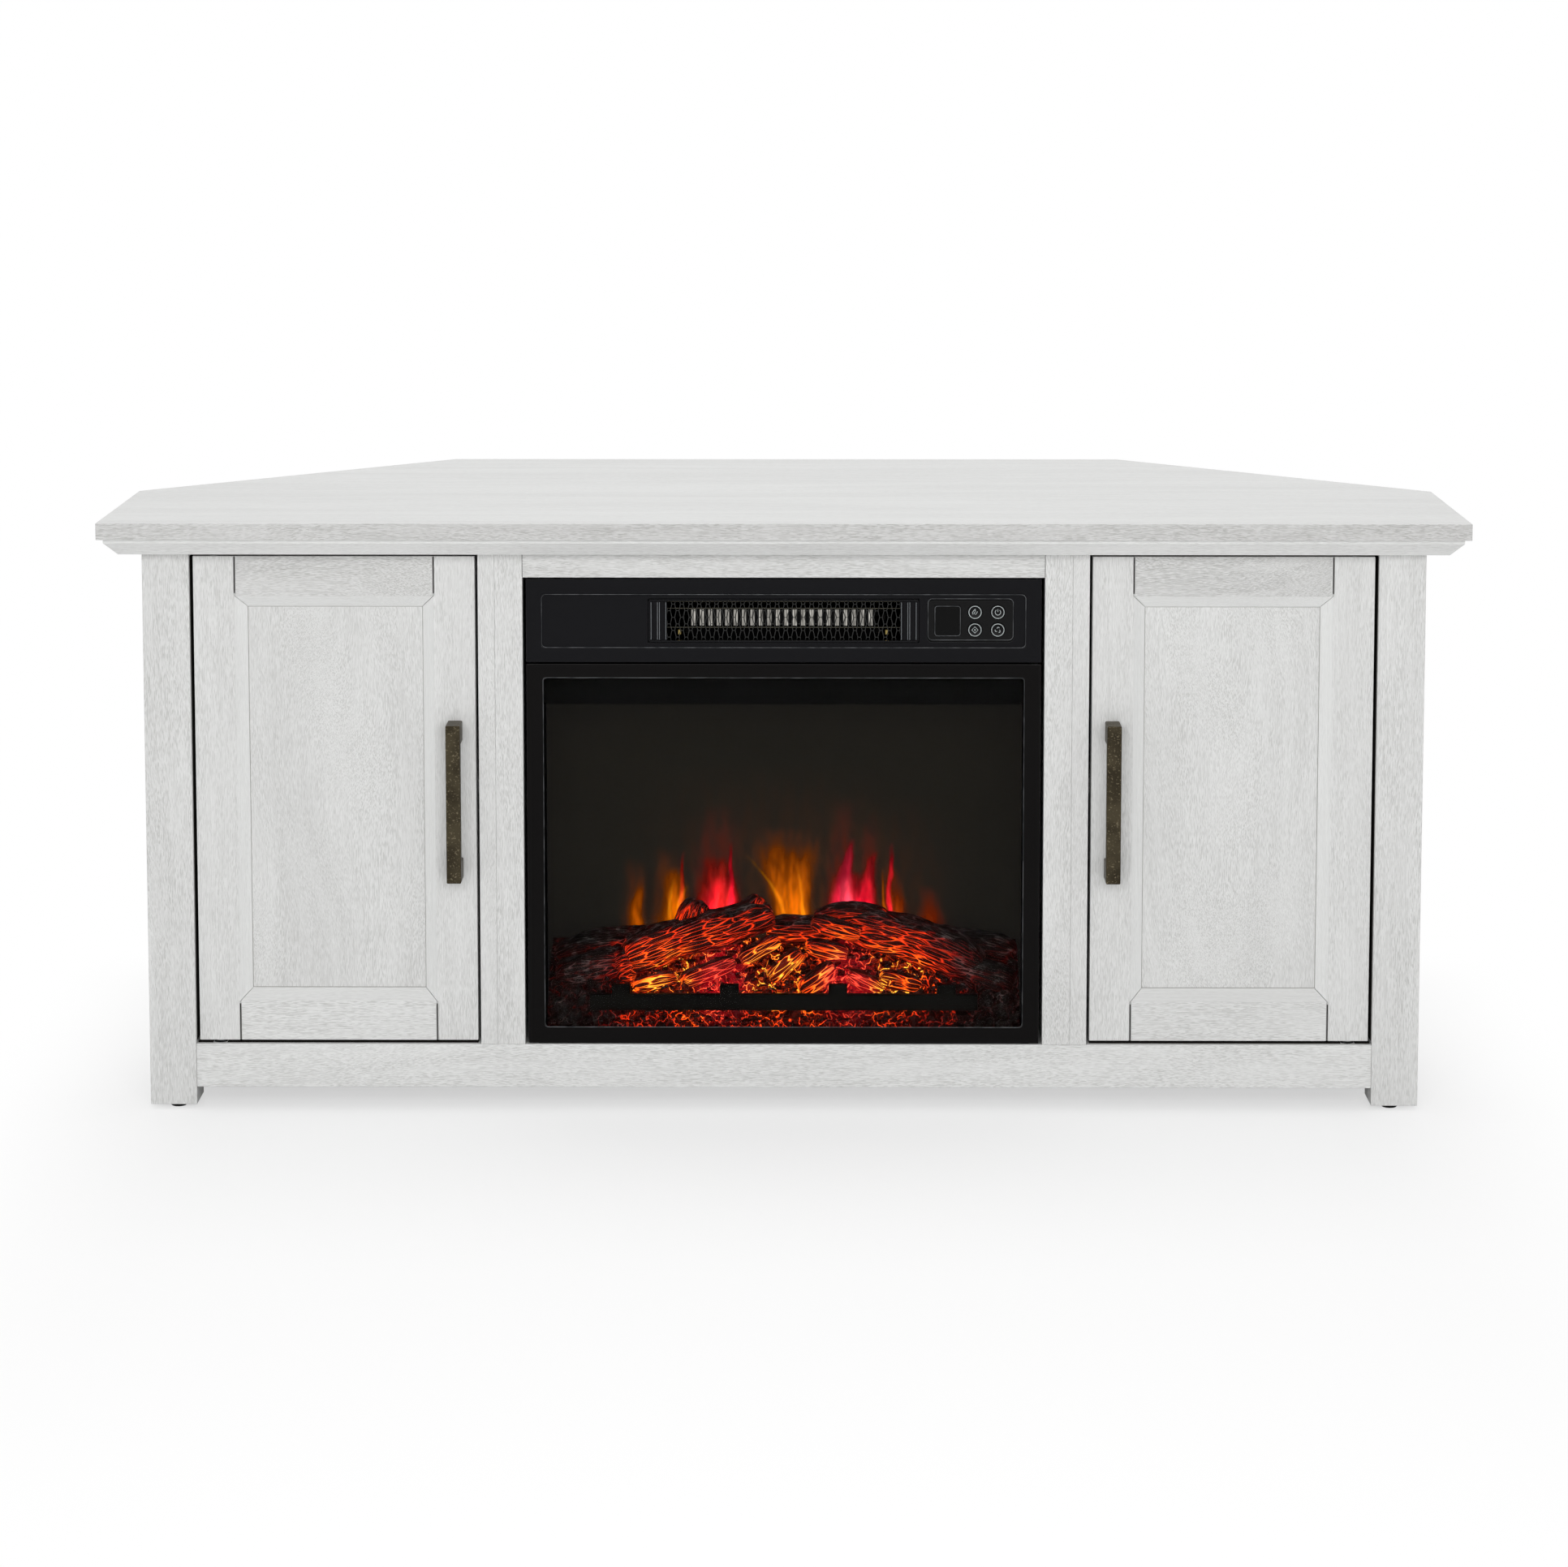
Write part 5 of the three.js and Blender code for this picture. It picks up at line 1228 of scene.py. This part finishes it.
def wood_mesh(name, start, end, radii, squareness, bow, seed):
    """Bark or split wood between two points, with a swollen surface and closed, roughened ends."""
    start, end = Vector(start) * mm, Vector(end) * mm
    axis = end - start
    length, forward = axis.length, axis.normalized()
    across = forward.cross(Vector((0, 0, 1))).normalized()
    upward = across.cross(forward)
    rings = max(int(length / spacing), 8)
    ring_size = max(int(2 * math.pi * max(radii) * mm / spacing), 18)
    vertices, grain = [], []
    for i in range(-cap_rings, rings + cap_rings):
        share = min(max(i / (rings - 1), 0), 1)
        inset = max(-i, i - (rings - 1), 0) / cap_rings
        radius = (radii[0] + (radii[1] - radii[0]) * share) * mm
        middle = start + axis * share + upward * (bow * mm * math.sin(math.pi * share))
        near_end = 1 if i <= 0 or i >= rings - 1 else 0
        from_end = min(share, 1 - share) * length / (end_reach * radius)
        taper = 1 - end_narrows * max(0.0, 1 - from_end) ** 2
        bulge = end_bulge * radius * math.sqrt(1 - (1 - inset) ** 2) * (-1 if i < 0 else 1)
        for j in range(ring_size):
            angle = 2 * math.pi * j / ring_size - math.pi
            c, s = math.cos(angle), math.sin(angle)
            square = (abs(c) ** squareness + abs(s) ** squareness) ** (-1 / squareness)
            swell = 1
            for much, often, turns in swells:
                spot = Vector((share * length * often, c * turns + seed, s * turns))
                swell += much * noise.noise(spot)
            spot = Vector((c * torn_round, s * torn_round, seed + (9 if i < 0 else 4)))
            torn = torn_depth * noise.noise(spot)
            reach = radius * square * swell * taper * (1 - inset)
            past = torn * near_end * (1 - inset * 0.6) + bulge
            vertices.append(middle + (across * c + upward * s) * reach + forward * past)
            grain.append((share * length + angle * radius * near_end * 0.3 * inset,
                          angle * radius * (1 - inset) + seed + inset * radius))
    faces = []
    for i in range(rings + 2 * cap_rings - 1):
        for j in range(ring_size):
            here, ahead, k = i * ring_size, (i + 1) * ring_size, (j + 1) % ring_size
            faces.append((here + j, here + k, ahead + k, ahead + j))
    mesh = bpy.data.meshes.new(name)
    mesh.from_pydata(vertices, [], faces)
    flat = [number for loop in mesh.loops for number in grain[loop.vertex_index]]
    mesh.uv_layers.new(name=grain_map).data.foreach_set("uv", flat)
    faced_outward(mesh, wood_weld)
    mesh.shade_smooth()
    return mesh


def woodpile(name, rows, seed):
    """Every piece of wood in a list, as one mesh that keeps the grain."""
    pieces = []
    for i, row in enumerate(rows):
        mesh = wood_mesh(f"{name}_{i}", *row, seed=seed + 7.3 * i)
        pieces.append(link(mesh.name, mesh))
    with bpy.context.temp_override(active_object=pieces[0], selected_editable_objects=pieces):
        bpy.ops.object.join()
    pieces[0].name = name
    return pieces[0]


# %% Logs and billets
# start and end in x, y, z, then the two radii, how square, and how far it bows (millimetres)
logs = [
    ((-208, -142, 119), (-120, -141, 134), (18, 19), 2.2, 2),
    ((-206, -172, 112), (-150, -170, 123), (15, 18), 2.3, 0),
    ((-142, -170, 127), (-14, -146, 161), (20, 16), 2.3, 4),
    ((-90, -149, 148), (-80, -147, 173), (17, 14), 2.3, 0),
    ((-152, -172, 119), (-142, -171, 122), (21, 21), 2.4, 0),
    ((-40, -148, 154), (-24, -146, 177), (16, 9), 2.3, 0),
    ((-12, -137, 147), (42, -153, 149), (14, 13), 2.3, 0),
    ((30, -146, 159), (92, -146, 157), (10, 14), 2.2, 4),
    ((62, -146, 152), (178, -170, 120), (19, 21), 2.3, 5),
    ((120, -141, 134), (210, -142, 121), (19, 20), 2.2, 1),
    ((168, -174, 116), (208, -176, 104), (15, 16), 2.4, 0),
]
billets = [
    ((-60, -166, 150), (-12, -160, 166), (8, 7.5), 3.6, 0),
    ((-38, -179, 128), (-6, -173, 145), (8, 7), 3.8, 0),
    ((-92, -182, 108), (-47, -177, 125), (9, 8), 3.4, 0),
    ((27, -168, 160), (68, -168, 149), (8, 8), 3.6, 0),
    ((17, -187, 101), (45, -181, 121), (9, 9), 3.6, 0),
    ((-12, -183, 112), (15, -178, 134), (8, 8), 3.8, 0),
    ((-136, -183, 103), (-100, -181, 111), (8, 9), 2.8, 0),
    ((60, -185, 115), (88, -183, 102), (8, 8), 2.8, 0),
    ((90, -182, 112), (124, -182, 104), (9, 8), 2.6, 0),
    ((22, -176, 140), (56, -174, 132), (8, 8), 3.2, 0),
]
log_pile = woodpile("charred_logs", logs, 2.0)
settle(log_pile, "log_set", bark)
billet_pile = woodpile("split_billets", billets, 61.0)
settle(billet_pile, "log_set", split_wood)
print("log faces:", len(log_pile.data.polygons), "billet faces:", len(billet_pile.data.polygons))

# %% [markdown]
# ## Ember bed and coals
#
# Under the logs lies a bed of cast embers. It is a swept section, closed all round, with lumps from
# cell noise. Loose coals are scattered on its front by Geometry Nodes: points on the faces, one rough
# coal on each, turned and sized at random from a fixed seed.

# %% Ember bed
low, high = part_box("log_set")
# the section, as shares of the box's depth and of the bed's height
bed_section = [(0.0, 0.0), (0.0, 0.13), (0.12, 0.24), (0.3, 0.42), (0.62, 0.56), (1.0, 0.6), (1.0, 0.0)]
bed_tall, bed_inset = 119 * mm, 5.5 * mm
lump_size, lump_height, grit_height = 13 * mm, 4.6 * mm, 1.2 * mm
columns = int((high.x - low.x) / spacing)

corners = [Vector((0, low.y + y * (high.y - low.y), low.z + z * bed_tall)) for y, z in bed_section]
section = []
for first, second in zip(corners, corners[1:] + corners[:1]):
    run = second - first
    outward = Vector((0, -run.z, run.y)).normalized()
    steps = max(int(run.length / spacing), 1)
    section += [(first + run * (i / steps), outward) for i in range(steps)]

vertices = []
for i in range(columns + 1):
    x = low.x + (high.x - low.x) * i / columns
    for point, outward in section:
        spot = Vector((x, point.y, point.z))
        near, far = noise.voronoi(spot / lump_size)[0][:2]
        lump = min((far - near) / 0.25, 1.0) * lump_height + grit_height * noise.noise(spot * 240)
        vertices.append(spot + outward * (lump - bed_inset))
ring = len(section)
faces = [(i * ring + j, (i + 1) * ring + j, (i + 1) * ring + (j + 1) % ring, i * ring + (j + 1) % ring)
         for i in range(columns) for j in range(ring)]
faces += [tuple(range(ring)), tuple(columns * ring + j for j in reversed(range(ring)))]
mesh = bpy.data.meshes.new("ember_bed")
mesh.from_pydata(vertices, [], faces)
faced_outward(mesh)
settle(link("ember_bed", mesh), "log_set", ember, replaces=["log_set"])
print("bed faces:", len(mesh.polygons))

# %% One rough coal, and the tree that scatters it
work = bmesh.new()
bmesh.ops.create_icosphere(work, subdivisions=2, radius=1.0)
for vertex in work.verts:
    vertex.co *= 0.82 + 0.5 * noise.noise(vertex.co * 1.7)
    vertex.co.z *= 0.7
coal_pattern = finished(work, "coal_pattern")

scatter, given, result = new_group(
    "scattered coals", "GeometryNodeTree",
    "Geometry: Geometry, Coal: Object, Density, Least gap, Least size, Most size, Seed: Int, "
    "Material: Material", "Geometry: Geometry")
full_turn = (6.28, 6.28, 6.28)
inputs = {"Mesh": given["Geometry"], "Distance Min": given["Least gap"],
          "Density Max": given["Density"], "Seed": given["Seed"]}
spots = put("GeometryNodeDistributePointsOnFaces", inputs, distribute_method="POISSON")["Points"]
shape = put("GeometryNodeObjectInfo", {"Object": given["Coal"]})["Geometry"]
inputs = {"Max": full_turn, "Seed": given["Seed"]}
turns = put("FunctionNodeRandomValue", inputs, data_type="FLOAT_VECTOR")["Value"]
inputs = {2: given["Least size"], 3: given["Most size"], "Seed": 11}
sizes = put("FunctionNodeRandomValue", inputs, data_type="FLOAT")[1]
result[0] = repeated(spots, shape, given, Rotation=turns, Scale=sizes)

# %% Coals on the front of the bed
# the apron that carries them: x of both ends, and its profile in y and z (millimetres)
apron_x, apron = (-207, 207), [(-203, 66), (-203, 80), (-196, 92), (-186, 102), (-174, 112)]
apron_mesh = bpy.data.meshes.new("apron")
apron_mesh.from_pydata([(x * mm, y * mm, z * mm) for y, z in apron for x in apron_x], [],
                       [(2 * i, 2 * i + 1, 2 * i + 3, 2 * i + 2) for i in range(len(apron) - 1)])
values = {"Coal": coal_pattern, "Density": 9000.0, "Least gap": 13 * mm, "Least size": 7 * mm,
          "Most size": 11.5 * mm, "Seed": 5, "Material": coal}
coals = grown_by_nodes("loose_coals", scatter, values, start=apron_mesh)
bpy.data.objects.remove(coal_pattern)
settle(coals, "log_set", None)
print("coal faces:", len(coals.data.polygons))

# %% [markdown]
# ## Screws and shelf pins
#
# The thin back panels are screwed on all round. A border of points, spaced along a rectangle, carries
# one pan head screw each, and the same tree serves all three panels. Small steel pins hold the shelves.

# %% One screw, and the tree that repeats it along a border
# radius and depth of the pan head, and half the width and height of its two slots (millimetres)
head_profile = [(0, -1.7), (1.4, -1.6), (2.6, -1.1), (3.2, -0.3), (3.2, 0.2), (0, 0.2)]
slots, slot_depth = ((1.6, 0.35), (0.35, 1.6)), (-3 * mm, -0.9 * mm)
profile = [(radius * mm, y * mm) for radius, y in head_profile]
screw = turned_front("screw_pattern", profile, Vector((0, 0, 0)), segments=20)
cross = [box_piece("slot", around(0, 2 * w * mm), slot_depth, around(0, 2 * h * mm)) for w, h in slots]
for slot_piece in cross:
    cut = screw.modifiers.new("slot", "BOOLEAN")
    cut.object, cut.operation = slot_piece, "DIFFERENCE"
    applied(screw)
    bpy.data.objects.remove(slot_piece)
screw.data.transform(Matrix.Rotation(-math.pi / 2, 4, "X"))

border_tree, given, result = new_group(
    "screw border", "GeometryNodeTree",
    "Width, Height, Spacing, Screw: Object, Material: Material", "Geometry: Geometry")
inputs = {"Width": given["Width"], "Height": given["Height"]}
border = put("GeometryNodeCurvePrimitiveQuadrilateral", inputs)[0]
inputs = {"Curve": border, "Length": given["Spacing"]}
spots = put("GeometryNodeResampleCurve", inputs, mode="LENGTH")[0]
shape = put("GeometryNodeObjectInfo", {"Object": given["Screw"]})["Geometry"]
result[0] = repeated(spots, shape, given)

# %% Screws on each back panel
edge_inset, screw_pitch = 9 * mm, 88 * mm


def outer_frame(node):
    """A matrix with Z out of a board's outer face, and the width and height of that face."""
    mesh, matrix = nodes[node].data, nodes[node].matrix_world
    face = max((face for face in mesh.polygons if face.normal.y > 0.2), key=lambda face: face.area)
    outward, upward = face.normal.normalized(), Vector((0, 0, 1))
    across = upward.cross(outward).normalized()
    corners = [matrix @ vertex.co for vertex in mesh.vertices]
    spans = [[corner.dot(axis) for corner in corners] for axis in (across, upward, outward)]
    lows, highs = [min(span) for span in spans], [max(span) for span in spans]
    middle = across * (highs[0] + lows[0]) / 2 + outward * highs[2]
    middle.z = (highs[1] + lows[1]) / 2
    turn = Matrix((across, upward, outward)).transposed().to_4x4()
    return Matrix.Translation(middle) @ turn, highs[0] - lows[0], highs[1] - lows[1]


for panel in [node for node in nodes if node.startswith("back_panel")]:
    place, wide, tall = outer_frame(panel)
    values = {"Width": wide - 2 * edge_inset, "Height": tall - 2 * edge_inset, "Spacing": screw_pitch,
              "Screw": screw, "Material": bare_steel}
    screws = grown_by_nodes(panel + "_screws", border_tree, values)
    screws.data.transform(place)
    settle(screws, panel, None, slot="bare_steel")
bpy.data.objects.remove(screw)

# %% Shelf pins
pin_radius, pin_reach = 2.4 * mm, 7 * mm
pin_from_front, rear_pin_y = 30 * mm, -45 * mm
turn = Matrix.Rotation(math.pi / 2, 4, "Y")
for side in sides:
    low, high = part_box(f"shelf_{side}")
    work = bmesh.new()
    for x, inward in ((low.x, 1), (high.x, -1)):
        for y in (low.y + pin_from_front, rear_pin_y):
            place = Matrix.Translation((x + inward * pin_reach / 2, y, low.z - pin_radius)) @ turn
            bmesh.ops.create_cone(work, cap_ends=True, segments=20, radius1=pin_radius,
                                  radius2=pin_radius, depth=pin_reach, matrix=place)
    pins = finished(work, f"shelf_pins_{side}")
    pins.data.shade_smooth()
    pins.data.set_sharp_from_angle(angle=math.radians(40))
    settle(pins, f"shelf_{side}", bare_steel, slot="bare_steel")
